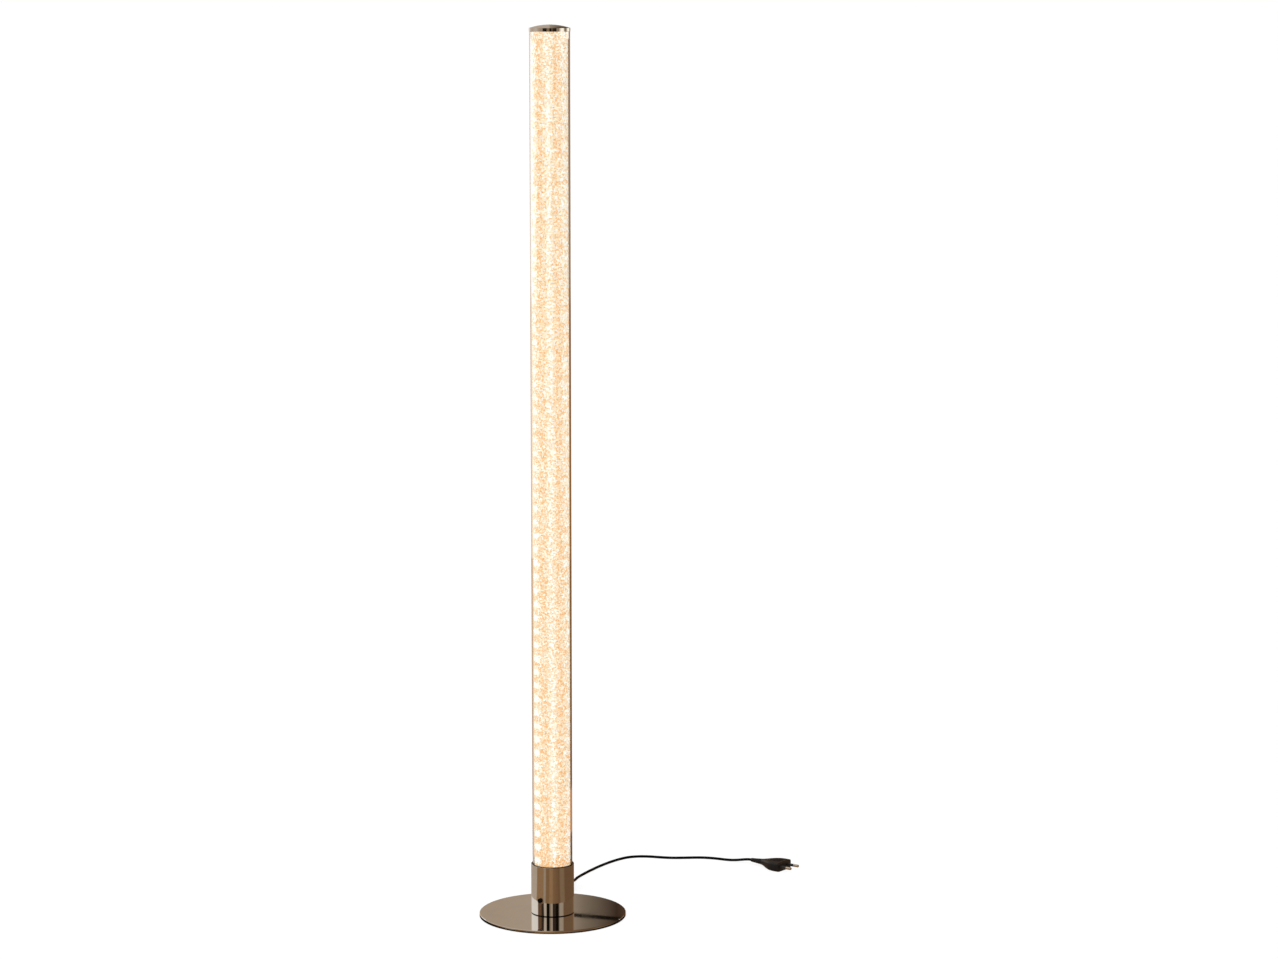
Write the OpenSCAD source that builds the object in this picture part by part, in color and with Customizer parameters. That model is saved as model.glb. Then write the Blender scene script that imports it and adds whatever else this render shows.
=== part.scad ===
// Bubble tube floor lamp: a clear acrylic tube lined with a crackled film and lit by an LED
// column, standing in a chromed socket on a thin round base, with a small push button in the
// socket and a mains lead that lies coiled behind the lamp and runs out to its plug.
// Millimetres, +Z up. The origin is the middle of the base, on the floor. The front is -Y.

/* [Overall] */
// Height from the floor to the top of the cap
lamp_h = 1209; // [700:1:1500]

/* [Base] */
// Diameter of the round base plate
base_d = 200; // [150:1:280]
// Thickness of the base plate
base_t = 4; // [3:0.5:8]
// Bevel round the plate's top edge
base_bevel = 0.6; // [0.2:0.1:1.5]
// Thickness of the foam ring under the plate
pad_t = 1; // [0.5:0.1:3]
// Width of the foam ring's band
pad_w = 18; // [8:1:30]
// How far the foam ring stays inside the plate's edge
pad_inset = 5; // [2:0.5:12]

/* [Socket] */
// Height of the chromed socket above the plate
socket_h = 68.7; // [56:0.1:110]
// Wall of the socket
socket_wall = 1.5; // [1:0.1:3]
// Thickness of the socket's floor
socket_floor_t = 1.5; // [1:0.1:3]
// Bevel at the socket's mouth
socket_bevel = 0.8; // [0.2:0.1:1.2]
// Height of the space for the electronics, under the tube holder
electronics_h = 30.2; // [29:0.1:36]

/* [Tube] */
// Outer diameter of the clear tube
tube_d = 54.2; // [44:0.1:80]
// Wall of the clear tube
tube_wall = 2.5; // [1.5:0.1:4]
// Gap between tube and socket, which the gasket fills
gasket_gap = 0.65; // [0.4:0.05:1.5]
// Depth of the gasket in the gap
gasket_h = 6; // [3:0.5:12]
// Thickness of the crackled film
film_t = 0.3; // [0.2:0.05:0.6]

/* [Cap] */
// Straight side of the top cap
cap_side_h = 4.6; // [3:0.1:12]
// Height of the cap's dome above its side
cap_dome_h = 4.5; // [3:0.1:8]
// How far the cap stands out past the tube
cap_overhang = 0.4; // [0:0.1:2]
// Thickness of the cap's side
cap_wall = 2; // [1.2:0.1:3]
// Height of the stopper that holds the cap in the tube
stopper_h = 14; // [12:0.5:25]
// Thickness of the sealing ring round the stopper
seal_d = 1.8; // [1.2:0.1:2.4]

/* [Tube holder] */
// Thickness of the disc that the tube stands on
holder_t = 3; // [2:0.5:4]
// Height of the spigot inside the tube
spigot_h = 12; // [10:0.5:20]
// Radius of the three bosses
boss_r = 4; // [3.5:0.1:5]
// Distance from a boss's middle to the socket's inner wall
boss_inset = 7.75; // [6:0.05:9]

/* [Light column] */
// Width of the square aluminium mast
mast_w = 12; // [10:0.5:16]
// Wall of the mast
mast_wall = 1; // [0.8:0.1:2]
// Depth of the mast's seat at each end
mast_seat = 9; // [6:0.5:10]
// Width of an LED strip
strip_w = 8; // [5:0.5:10]
// Thickness of an LED strip
strip_t = 0.4; // [0.2:0.1:1]
// Distance from one LED to the next
led_pitch = 18.6; // [10:0.1:30]

/* [Button] */
// Diameter of the push button
button_d = 6.2; // [5:0.1:8]
// How far the button stands out of its bush
button_out = 2.8; // [2:0.1:5]
// Travel of the button
button_travel = 1.2; // [0.5:0.1:1.5]
// Height of the button's middle above the plate
button_h = 22; // [18:0.5:24]
// Turn of the button from the front towards the left, in degrees
button_turn = 35; // [28:1:45]

/* [Electronics] */
// Width of the driver board
board_w = 34; // [28:1:38]
// Height of the driver board
board_h = 26; // [24:0.5:28]
// Thickness of the driver board
board_t = 1.6; // [1:0.1:2]

/* [Screws] */
// Diameter of the three base screws
screw_d = 4; // [3:0.1:4.5]
// Length of a base screw's shank above its head
screw_l = 13; // [10:0.5:16]
// Diameter of the screw in the cap
cap_screw_d = 3; // [2.5:0.1:3.5]

/* [Cord] */
// Diameter of the round mains lead
cord_d = 3.8; // [3:0.1:3.8]
// Height of the cord's exit above the plate
gland_h = 8; // [6:0.5:9]
// Thickness of the strain relief's flange
gland_flange_t = 2; // [1.5:0.1:3]
// Width across the plug
plug_w = 35.3; // [34:0.1:37]
// Thickness of the plug
plug_t = 13.7; // [12:0.1:15]
// Length of the plug without its pins
plug_l = 57; // [50:1:60]
// Diameter of a plug pin
pin_d = 4; // [3.8:0.1:4.8]
// Length of a plug pin outside the plug
pin_l = 19; // [17:0.5:20]
// Distance between the pins' middles
pin_spacing = 19; // [18:0.5:20]

/* [Clearances] */
// Radial clearance of a sliding or threaded fit
fit = 0.05; // [0.02:0.01:0.1]
// Clearance between pieces that are put together
clearance = 0.1; // [0.05:0.05:0.2]
// Clearance round what a screw or wire passes through
slack = 0.2; // [0.15:0.05:0.4]

/* [Hidden] */
$fn = 96;

// How far a cutting shape runs past what it cuts, and the break of a sharp edge
cut = 1;
edge = 0.3;

// Levels, from the floor up
plate_top = pad_t + base_t;
socket_top = plate_top + socket_h;
socket_inside = plate_top + socket_floor_t;
holder_under = socket_inside + electronics_h;
tube_foot = holder_under + holder_t;
spigot_top = tube_foot + spigot_h;
cap_rim = lamp_h - cap_dome_h;
tube_top = cap_rim - cap_side_h;
stopper_foot = tube_top - stopper_h;
board_top = holder_under - edge;
board_foot = board_top - board_h;

// Radii, from the tube outwards and inwards
tube_r = tube_d / 2;
tube_ri = tube_r - tube_wall;
film_r = tube_ri - clearance;
film_ri = film_r - film_t;
core_r = film_ri - clearance;
socket_ri = tube_r + gasket_gap;
socket_r = socket_ri + socket_wall;
cap_r = tube_r + cap_overhang;
boss_place = socket_ri - boss_inset;
BOSS_ANGLES = [30, 150, 270];

// Screws in the base and in the cap
screw_head_r = screw_d;
screw_head_h = screw_d * 0.55;
screw_key_r = screw_d * 0.32;
screw_key_deep = 1.4;
cap_head_z = stopper_foot + mast_seat;
cap_head_t = 2;
cap_screw_in = 3.5;
cap_post_r = cap_screw_d + 1;
dome_t = 1.5;
seal_z = stopper_foot + stopper_h / 2;

// Push button, measured along its own axis from the lamp's axis outwards
button_r = button_d / 2;
button_z = plate_top + button_h;
button_angle = 270 - button_turn;
bush_flange_r = button_r + 1.9;
bush_flange_t = 0.8;
bush_r = button_r + 1.2;
bush_well_r = button_r + 0.5;
bush_seat = flat_on(socket_r, bush_flange_r + slack) - clearance;
bush_face = bush_seat + bush_flange_t;
nut_r = 6.2;
nut_t = 2;
nut_seat = flat_on(socket_ri, nut_r) - clearance;
collar_t = 1.7;
spring_room = 1.1;
well_top = nut_seat - nut_t;
bush_end = well_top - collar_t - button_travel - spring_room;
switch_w = 9;
switch_l = 8;
stem_r = 1.2;
stem_in = 3.15;
stem_room = 1.15;
contact_size = [0.5, 2, 4];
contact_place = 2.5;
contact_end = bush_end - switch_l - contact_size.z;

// Cord's exit at the back of the socket
gland_z = plate_top + gland_h;
gland_flange_r = 5.2;
gland_r = 4.2;
gland_seat = flat_on(socket_r, gland_flange_r + slack) - clearance;
gland_nut_t = 2.5;
gland_boot_r = 4;
boot_wall = 0.8;
gland_nut_seat = flat_on(socket_ri, nut_r) - clearance;
gland_end = gland_nut_seat - gland_nut_t - 2;
cord_r = cord_d / 2;
tail_end = gland_end - 2;
core_place = 0.95;

// Driver board, upright behind the socket's middle
board_y = 2;
board_back = board_y + board_t;
terminal_size = [12, 8, 7];
terminal_x = 2;
terminal_z = board_foot + 0.6;
rib_x = 12;
rib_w = 4;
rib_h = 4;
rib_cheek = 1.5;
wire_r = 0.8;
thin_wire_r = 0.6;
wire_way_r = 4;

// Parts on the board: where each starts, across and above the board's foot, and its size
transformer_at = [-6, 14];
transformer = [12, 9, 10];
rectifier_at = [1.5, 5];
rectifier = [6, 3, 5];
chip_at = [5, 12];
chip = [6, 1.6, 5];
capacitor_at = [-4.5, 7.5];
capacitor_l = 9;
inductor_at = [-11, 6];
inductor_l = 5;
can_r = 3;

// Light column
strip_foot = spigot_top + 5;
strip_len = stopper_foot - 3 - strip_foot;
led_size = [0.7, 3.5, 2.8];
mast_port_r = 1.6;
mast_port_z = spigot_top + 2.4;
led_count = floor((strip_len - led_pitch / 2) / led_pitch) + 1;

// Coil of spare cord behind the lamp: four layers, each wound two and a half turns
coil_place = [0, 133];
coil_lift = 2.5;
coil_r_in = 15.8;
coil_r_out = 26.5;
coil_layers = 4;
coil_layer_turns = 2.5;
coil_layer_step = 4.3;
coil_rings = 24;
coil_sides = 6;
coil_turns = coil_layers * coil_layer_turns;
coil_pitch = (coil_r_out - coil_r_in) / coil_layer_turns;

// Cord from the strain relief over the plate's rear edge to the coil
lead_points = [
    [0, 53, 13], [0, 57, 13], [0.6, 64, 11.8], [2.4, 71, 9.2], [5.2, 78, 7.3], [8.8, 85, 7],
    [12.8, 92, 7], [16.6, 99, 6.9], [20.1, 106, 5.4], [23.2, 113, 3.2], [25.4, 120, 2.4],
    [26.5, 126, 2.5], [26.5, 129.2, 2.5]
];
// Cord from the top of the coil down to the floor and in loose curves to the plug
run_points = [
    [26.5, 136.8, 15.4], [26.6, 142, 14.9], [27.1, 150, 12.6], [27.9, 158, 9], [28.9, 166, 5.4],
    [30.2, 174, 2.9], [32, 182, 2], [34.6, 191, 2], [38, 200, 2], [43, 211, 2], [48, 221, 2],
    [53, 231, 2], [58.5, 241, 2], [64, 251, 2], [70, 261, 2], [76.5, 271, 2], [84, 281.5, 2],
    [92, 291.5, 2], [101, 301, 2], [111, 308.5, 2], [122, 312.5, 2], [133, 313, 2],
    [144, 311, 2], [155, 307.5, 2], [166, 304.5, 2], [177, 303, 2], [188, 303, 2],
    [199, 303.5, 2], [210, 304, 2], [221, 303, 2], [232, 300, 2], [242.5, 295.5, 2],
    [252.5, 290, 2.1], [262, 284.6, 2.9], [271, 279.8, 4.4], [279, 275.7, 6], [284.9, 272.4, 6.8],
    [288, 270, 6.85]
];
// The plug's direction on the floor, in degrees from +X
plug_turn = -38;
plug_start = run_points[len(run_points) - 1];

// Tie round the coil, at its back
tie_w = 8;
tie_t = 0.5;
tie_gap = 0.25;
tie_corner = 0.9;

// Plug: its boot, the half widths of its neck and shoulders, and the roots of its pins
plug_boot_l = 20;
plug_boot_r = 4.4;
plug_neck_w = 5;
plug_neck_t = 4.6;
plug_shoulder_w = 8;
plug_shoulder_l = 6;
plug_slope_l = 12;
plug_grip_l = 11;
plug_edge = 1;
pin_root_l = 9.8;
pin_root_r = pin_d / 2 - 0.2;

// Distance from the axis of a flat cut on a round wall, for a face of radius r
function flat_on(wall_r, r) = sqrt(wall_r * wall_r - r * r);

function unit(v) = v / norm(v);

// Rise from 0 to 1 without a kink
function ease(t) = let (u = max(0, min(1, t))) u * u * (3 - 2 * u);

// A ring of points of radius r round p, square to the direction d
function ring_points(p, d, r, sides) =
    let (side = abs(d.z) > 0.9 ? [1, 0, 0] : unit(cross(d, [0, 0, 1])), up = cross(side, d))
    [for (k = [0 : sides - 1])
        let (a = 360 * (k + 0.5) / sides) p + r * (cos(a) * side + sin(a) * up)];

// Direction of a path at its point i
function heading(path, i) =
    unit(path[min(i + 1, len(path) - 1)] - path[max(i - 1, 0)]);

function path_length(path) =
    len(path) < 2 ? 0 : [for (i = 1, s = norm(path[1] - path[0]); i < len(path);
        i = i + 1, s = s + (i < len(path) ? norm(path[i] - path[i - 1]) : 0)) s]
        [len(path) - 2];

// The coil's centreline at a degrees of winding: it draws in and out layer by layer and climbs
// to the next layer in the half turn where it reverses
function coil_point(a) =
    let (
        leg = 360 * coil_layer_turns,
        layer = min(coil_layers - 1, floor(a / leg)),
        t = a / leg - layer,
        draw = layer % 2 == 0 ? t : 1 - t,
        r = coil_r_out - (coil_r_out - coil_r_in) * draw,
        climbs = [for (j = [1 : coil_layers - 1]) ease((a - j * leg) / 180 + 0.5)],
        level = [for (i = 0, s = climbs[0]; i < len(climbs);
            i = i + 1, s = s + (i < len(climbs) ? climbs[i] : 0)) s][len(climbs) - 1]
    )
    [coil_place.x + r * cos(a), coil_place.y + r * sin(a), coil_lift + coil_layer_step * level];

coil_path = concat(
    [coil_point(0) - [0, cord_d, 0]],
    [for (i = [0 : coil_turns * coil_rings]) coil_point(360 * i / coil_rings)],
    [coil_point(360 * coil_turns) + [0, cord_d, 0]]
);
coil_gap = min([for (i = [0 : len(coil_path) - 14]) for (j = [i + 13 : len(coil_path) - 1])
    norm(coil_path[i] - coil_path[j])]) - cord_d;
echo(str("coil: least gap to itself ", coil_gap, " mm, length ", path_length(coil_path), " mm"));
echo(str("cord: lead ", path_length(lead_points), " mm, run ", path_length(run_points), " mm"));

// A closed tube along a path, one polyhedron with flat ends square to the path
module swept_tube(path, r, sides, first = undef, last = undef) {
    n = len(path);
    rings = [for (i = [0 : n - 1])
        let (d = i == 0 && first != undef ? first
            : i == n - 1 && last != undef ? last : heading(path, i))
        each ring_points(path[i], d, r, sides)];
    walls = [for (i = [0 : n - 2]) for (k = [0 : sides - 1])
        let (a = i * sides + k, b = i * sides + (k + 1) % sides)
        each [[a, a + sides, b], [b, a + sides, b + sides]]];
    start = [for (k = [1 : sides - 2]) [0, k, k + 1]];
    end = [for (k = [1 : sides - 2]) [(n - 1) * sides, (n - 1) * sides + k + 1,
        (n - 1) * sides + k]];
    polyhedron(rings, concat(walls, start, end));
}

module pipe(r_out, r_in, foot, top) {
    translate([0, 0, foot])
        difference() {
            cylinder(r = r_out, h = top - foot);
            translate([0, 0, -cut]) cylinder(r = r_in, h = top - foot + 2 * cut);
        }
}

module box_at(low, size) {
    translate(low) cube(size);
}

// Turns its children so that their Z axis points outwards at an angle round the lamp
module outwards(angle, z) {
    translate([0, 0, z]) rotate([0, 0, angle]) rotate([0, 90, 0]) children();
}

// A hole through the socket's wall with a flat face cut for a flange
module wall_port(angle, z, hole_r, seat, face_r) {
    outwards(angle, z) {
        translate([0, 0, socket_ri - 6]) cylinder(r = hole_r, h = 15);
        translate([0, 0, seat]) cylinder(r = face_r, h = 10);
    }
}

module at_bosses() {
    for (a = BOSS_ANGLES) rotate([0, 0, a]) translate([boss_place, 0, 0]) children();
}

module square_post(w, foot, top) {
    translate([-w / 2, -w / 2, foot]) cube([w, w, top - foot]);
}

module floor_ring() {
    r = base_d / 2 - pad_inset;
    color("#26262a") pipe(r, r - pad_w, 0, pad_t);
}

module base_plate() {
    r = base_d / 2;
    color("#b9aea0")
        difference() {
            rotate_extrude()
                polygon([
                    [0, pad_t], [r - edge, pad_t], [r, pad_t + edge],
                    [r, plate_top - base_bevel], [r - base_bevel, plate_top], [0, plate_top]
                ]);
            at_bosses() {
                translate([0, 0, pad_t - cut])
                    cylinder(r = screw_d / 2 + slack, h = base_t + 2 * cut);
                translate([0, 0, pad_t - 0.01])
                    cylinder(r1 = screw_head_r + slack, r2 = screw_d / 2 + slack,
                        h = screw_head_h);
            }
        }
}

module base_screws() {
    color("#8f8f93")
        at_bosses()
            difference() {
                union() {
                    translate([0, 0, pad_t])
                        cylinder(r1 = screw_head_r, r2 = screw_d / 2, h = screw_head_h);
                    translate([0, 0, pad_t + screw_head_h])
                        cylinder(r = screw_d / 2, h = screw_l);
                }
                translate([0, 0, pad_t - cut])
                    cylinder(r = screw_key_r, h = screw_key_deep + cut, $fn = 6);
            }
}

module socket_sleeve() {
    color("#b3a797")
        difference() {
            rotate_extrude()
                polygon([
                    [0, plate_top], [socket_r - edge, plate_top], [socket_r, plate_top + edge],
                    [socket_r, socket_top - socket_bevel],
                    [socket_r - socket_bevel, socket_top], [socket_ri, socket_top],
                    [socket_ri, socket_inside], [0, socket_inside]
                ]);
            at_bosses()
                translate([0, 0, plate_top - cut])
                    cylinder(r = screw_d / 2 + slack, h = socket_floor_t + 2 * cut);
            wall_port(button_angle, button_z, bush_r + clearance, bush_seat,
                bush_flange_r + slack);
            wall_port(90, gland_z, gland_r + clearance, gland_seat, gland_flange_r + slack);
        }
}

module tube_holder() {
    mast_recess = mast_w + 2 * clearance;
    color("#ece9e2")
        difference() {
            union() {
                translate([0, 0, holder_under]) cylinder(r = socket_ri - clearance, h = holder_t);
                translate([0, 0, tube_foot]) cylinder(r = core_r, h = spigot_h);
                at_bosses()
                    translate([0, 0, socket_inside]) cylinder(r = boss_r, h = electronics_h + cut);
                for (side = [-1, 1])
                    box_at([side * rib_x - rib_w / 2, board_y - rib_cheek, holder_under - rib_h],
                        [rib_w, board_t + 2 * rib_cheek, rib_h + cut]);
            }
            at_bosses()
                translate([0, 0, socket_inside - cut])
                    cylinder(r = screw_d / 2 + fit, h = screw_l);
            box_at([-board_w / 2 - cut, board_y - clearance, holder_under - rib_h - cut],
                [board_w + 2 * cut, board_t + 2 * clearance, rib_h + cut]);
            translate([0, 0, holder_under - cut]) cylinder(r = wire_way_r, h = holder_t + spigot_h);
            square_post(mast_recess, spigot_top - mast_seat, spigot_top + cut);
        }
}

module tube_gasket() {
    color("#1c1c1e")
        pipe(socket_ri - fit, tube_r + fit, socket_top - gasket_h, socket_top + 0.2);
}

module diffuser_tube() {
    color("#ffe3c0", 0.35) pipe(tube_r, tube_ri, tube_foot, tube_top);
}

module crackle_film() {
    color("#ffd9a8") pipe(film_r, film_ri, tube_foot + clearance, tube_top - clearance);
}

module led_mast() {
    foot = spigot_top - mast_seat;
    top = stopper_foot + mast_seat - clearance;
    color("#c9cacc")
        difference() {
            square_post(mast_w, foot, top);
            square_post(mast_w - 2 * mast_wall, foot - cut, top + cut);
            translate([-mast_w, 0, mast_port_z])
                rotate([0, 90, 0]) cylinder(r = mast_port_r, h = 2 * mast_w);
        }
}

module led_strip(side) {
    color("#f4f2ec")
        box_at([side > 0 ? mast_w / 2 : -mast_w / 2 - strip_t, -strip_w / 2, strip_foot],
            [strip_t, strip_w, strip_len]);
}

module led_strip_left() {
    led_strip(-1);
}

module led_strip_right() {
    led_strip(1);
}

module leds(side) {
    x = side > 0 ? mast_w / 2 + strip_t : -mast_w / 2 - strip_t - led_size.x;
    color("#ffd27a")
        for (i = [0 : led_count - 1])
            box_at([x, -led_size.y / 2, strip_foot + led_pitch * (i + 0.25)], led_size);
}

module leds_left() {
    leds(-1);
}

module leds_right() {
    leds(1);
}

module cap_stopper() {
    color("#ece9e2")
        difference() {
            translate([0, 0, stopper_foot]) cylinder(r = core_r, h = stopper_h);
            square_post(mast_w + 2 * clearance, stopper_foot - cut, cap_head_z);
            translate([0, 0, stopper_foot])
                cylinder(r = cap_screw_d / 2 + slack, h = stopper_h + cut);
            translate([0, 0, cap_head_z - cut]) cylinder(r = cap_screw_d + slack, h = 3 * cut);
            pipe(core_r + cut, core_r - seal_d - clearance, seal_z - seal_d / 2 - clearance,
                seal_z + seal_d / 2 + clearance);
        }
}

module stopper_seal() {
    color("#2a2a2c")
        translate([0, 0, seal_z])
            rotate_extrude()
                translate([film_ri - seal_d / 2 - fit / 2, 0]) circle(d = seal_d, $fn = 32);
}

module cap_screw() {
    color("#8f8f93")
        translate([0, 0, cap_head_z])
            difference() {
                union() {
                    cylinder(r = cap_screw_d, h = cap_head_t);
                    cylinder(d = cap_screw_d, h = tube_top - cap_head_z + cap_screw_in);
                }
                translate([0, 0, -cut]) cylinder(r = 1.2, h = 1.2 + cut, $fn = 6);
            }
}

module top_cap() {
    dome_r = (cap_r * cap_r + cap_dome_h * cap_dome_h) / (2 * cap_dome_h);
    color("#b3a797")
        difference() {
            intersection() {
                translate([0, 0, lamp_h - dome_r]) sphere(r = dome_r, $fn = 256);
                translate([0, 0, tube_top]) cylinder(r = cap_r, h = cap_side_h + cap_dome_h);
            }
            difference() {
                intersection() {
                    translate([0, 0, lamp_h - dome_r]) sphere(r = dome_r - dome_t, $fn = 256);
                    translate([0, 0, tube_top - cut])
                        cylinder(r = cap_r - cap_wall, h = cap_side_h + cap_dome_h + 2 * cut);
                }
                translate([0, 0, tube_top - 2 * cut])
                    cylinder(r = cap_post_r, h = cap_side_h + cap_dome_h + 3 * cut);
            }
            translate([0, 0, tube_top - cut])
                cylinder(r = cap_screw_d / 2 + fit, h = cap_screw_in + cut + 0.5);
        }
}

module driver_board() {
    color("#2f6b46")
        box_at([-board_w / 2, board_y, board_foot], [board_w, board_t, board_h]);
}

// What stands on the board's back: transformer, smoothing capacitor, rectifier; on its front:
// controller chip and a small inductor
module driver_parts() {
    color("#d9b23c")
        box_at([transformer_at.x, board_back, board_foot + transformer_at.y], transformer);
    color("#1d1d1f") box_at([rectifier_at.x, board_back, board_foot + rectifier_at.y], rectifier);
    color("#1d1d1f") box_at([chip_at.x, board_y - chip.y, board_foot + chip_at.y], chip);
    color("#2b2b33")
        translate([capacitor_at.x, board_back, board_foot + capacitor_at.y])
            rotate([-90, 0, 0]) cylinder(r = can_r, h = capacitor_l);
    color("#6b4a2b")
        translate([inductor_at.x, board_y - inductor_l, board_foot + inductor_at.y])
            rotate([-90, 0, 0]) cylinder(r = can_r, h = inductor_l);
}

module terminal_block() {
    color("#2d6f3a")
        box_at([terminal_x, board_y - terminal_size.y, terminal_z], terminal_size);
}

// Two cores from the cord's end, under the board and up into the terminal block
module supply_wires() {
    low = socket_inside + wire_r + 0.5;
    for (side = [-1, 1])
        color(side < 0 ? "#4a6fb5" : "#7a4a2a")
            swept_tube([
                [side * core_place, tail_end, gland_z],
                [side * core_place, tail_end - 2.5, gland_z - 0.3],
                [side * 1.1 + 0.6, 12.4, low + 1.6],
                [side * 1.4 + 2, 8, low],
                [side * 1.8 + 4, 3, low],
                [side * 2 + 5.5, -0.5, low],
                [side * 2 + 6, -2, low + 1],
                [side * 2 + 6, -2.2, terminal_z - 0.4],
                [side * 2 + 6, -2.2, terminal_z]
            ], wire_r, 6, [0, -1, 0], [0, 0, 1]);
}

// Two thin cores from the board up through the holder, inside the mast and out to the strips
module led_wires() {
    out = mast_w / 2 + thin_wire_r + fit;
    for (side = [-1, 1])
        color(side < 0 ? "#202022" : "#b03a30")
            swept_tube([
                [side * 3, board_y, holder_under - 6.5],
                [side * 3, board_y - 1.5, holder_under - 6.5],
                [side * 2.6, board_y - 2.6, holder_under - 5],
                [side * 2, board_y - 2.6, holder_under - 1],
                [side * 2, 0, holder_under + 4],
                [side * 2, 0, spigot_top - 4],
                [side * 3, 0, mast_port_z - 2],
                [side * 4.6, 0, mast_port_z],
                [side * (mast_w / 2 + 0.1), 0, mast_port_z + 0.1],
                [side * out, 0, strip_foot - 1.6],
                [side * out, 0, strip_foot]
            ], thin_wire_r, 6, [0, -1, 0], [0, 0, 1]);
}

// Two thin cores from the switch's contacts to the top of the terminal block
module switch_wires() {
    inwards = -[cos(button_angle), sin(button_angle), 0];
    for (side = [-1, 1])
        color("#3a3a3d")
            swept_tube([
                -contact_end * inwards + [0, 0, button_z + side * contact_place],
                -(contact_end - 1.5) * inwards + [0, 0, button_z + side * contact_place],
                [1.2 + side, -4.8, button_z + side * 1.4 - 2.6],
                [terminal_x + 2.4 + side * 1.6, -2.6, terminal_z + terminal_size.z + 2.6],
                [terminal_x + 2.8 + side * 1.6, -2.4, terminal_z + terminal_size.z]
            ], thin_wire_r, 6, inwards, [0, 0, -1]);
}

module switch_bush() {
    color("#b3a797")
        outwards(button_angle, button_z)
            difference() {
                union() {
                    translate([0, 0, bush_seat]) cylinder(r = bush_flange_r, h = bush_flange_t);
                    translate([0, 0, bush_end]) cylinder(r = bush_r, h = bush_face - bush_end);
                }
                translate([0, 0, bush_end - cut])
                    cylinder(r = button_r + fit, h = bush_face - bush_end + 2 * cut);
                translate([0, 0, bush_end - cut])
                    cylinder(r = bush_well_r + fit, h = well_top - bush_end + cut);
            }
}

module switch_nut() {
    color("#9a9a9e")
        outwards(button_angle, button_z)
            difference() {
                translate([0, 0, nut_seat - nut_t]) cylinder(r = nut_r, h = nut_t, $fn = 6);
                translate([0, 0, nut_seat - nut_t - cut])
                    cylinder(r = bush_r + fit, h = nut_t + 2 * cut);
            }
}

module switch_body() {
    color("#222224")
        outwards(button_angle, button_z)
            difference() {
                translate([-switch_w / 2, -switch_w / 2, bush_end - switch_l])
                    cube([switch_w, switch_w, switch_l]);
                translate([0, 0, bush_end - stem_in - button_travel - stem_room])
                    cylinder(r = stem_r + clearance, h = stem_in + button_travel + stem_room + cut);
            }
}

module switch_contacts() {
    color("#c9a24a")
        outwards(button_angle, button_z)
            for (side = [-1, 1])
                translate([side * contact_place - contact_size.x / 2, -contact_size.y / 2, contact_end])
                    cube(contact_size);
}

// Return spring between the switch's body and the button's collar, as its own envelope
module switch_spring() {
    color("#a8a8ac")
        outwards(button_angle, button_z)
            pipe(bush_well_r - 0.4, stem_r + 0.5, bush_end + fit, well_top - collar_t - 2 * fit);
}

module push_button() {
    foot = well_top - collar_t - fit;
    tip = bush_face + button_out;
    dome_r = button_r * 2;
    color("#141416")
        outwards(button_angle, button_z) {
            intersection() {
                translate([0, 0, foot]) cylinder(r = button_r, h = tip - foot);
                translate([0, 0, tip - dome_r]) sphere(r = dome_r, $fn = 128);
            }
            translate([0, 0, foot]) cylinder(r = bush_well_r, h = collar_t);
            translate([0, 0, bush_end - stem_in])
                cylinder(r = stem_r, h = foot + collar_t / 2 - bush_end + stem_in);
        }
}

module strain_relief() {
    boot_start = gland_seat + gland_flange_t;
    boot_end = lead_points[0].y;
    color("#1a1a1c")
        outwards(90, gland_z)
            difference() {
                union() {
                    translate([0, 0, gland_seat]) cylinder(r = gland_flange_r, h = gland_flange_t);
                    translate([0, 0, gland_end]) cylinder(r = gland_r, h = gland_seat - gland_end);
                    translate([0, 0, boot_start])
                        cylinder(r1 = gland_boot_r, r2 = cord_r + boot_wall,
                            h = boot_end - boot_start);
                }
                translate([0, 0, gland_end - cut])
                    cylinder(r = cord_r + fit, h = boot_end - gland_end + 2 * cut);
            }
}

module gland_nut() {
    color("#1a1a1c")
        outwards(90, gland_z)
            difference() {
                translate([0, 0, gland_nut_seat - gland_nut_t])
                    cylinder(r = nut_r, h = gland_nut_t, $fn = 6);
                translate([0, 0, gland_nut_seat - gland_nut_t - cut])
                    cylinder(r = gland_r + fit, h = gland_nut_t + 2 * cut);
            }
}

// The jacketed end of the cord, inside the strain relief
module cord_tail() {
    color("#111113")
        outwards(90, gland_z)
            translate([0, 0, tail_end]) cylinder(r = cord_r, h = lead_points[0].y - tail_end);
}

module cord_lead() {
    color("#111113") swept_tube(lead_points, cord_r, 8, [0, 1, 0], [0, 1, 0]);
}

module cord_coil() {
    color("#111113") swept_tube(coil_path, cord_r, coil_sides, [0, 1, 0], [0, 1, 0]);
}

module cord_run() {
    color("#111113")
        swept_tube(run_points, cord_r, 8, [0, 1, 0], [cos(plug_turn), sin(plug_turn), 0]);
}

// A strap round all the turns at the back of the coil, with its corners cut
module cord_tie() {
    bow = tie_w * tie_w / (8 * coil_r_in);
    inside = coil_r_in + coil_pitch / 4 - cord_r - bow - tie_gap;
    outside = coil_r_out - coil_pitch / 4 + cord_r + tie_gap;
    foot = coil_lift - cord_r - fit;
    top = coil_lift + (coil_layers - 1) * coil_layer_step + cord_r + clearance;
    color("#1d1d20")
        translate([coil_place.x - tie_w / 2, coil_place.y, 0])
            rotate([90, 0, 90])
                linear_extrude(tie_w)
                    difference() {
                        cut_rectangle(inside - tie_t, foot - tie_t, outside + tie_t, top + tie_t,
                            tie_corner + edge);
                        cut_rectangle(inside, foot, outside, top, tie_corner);
                    }
}

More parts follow.
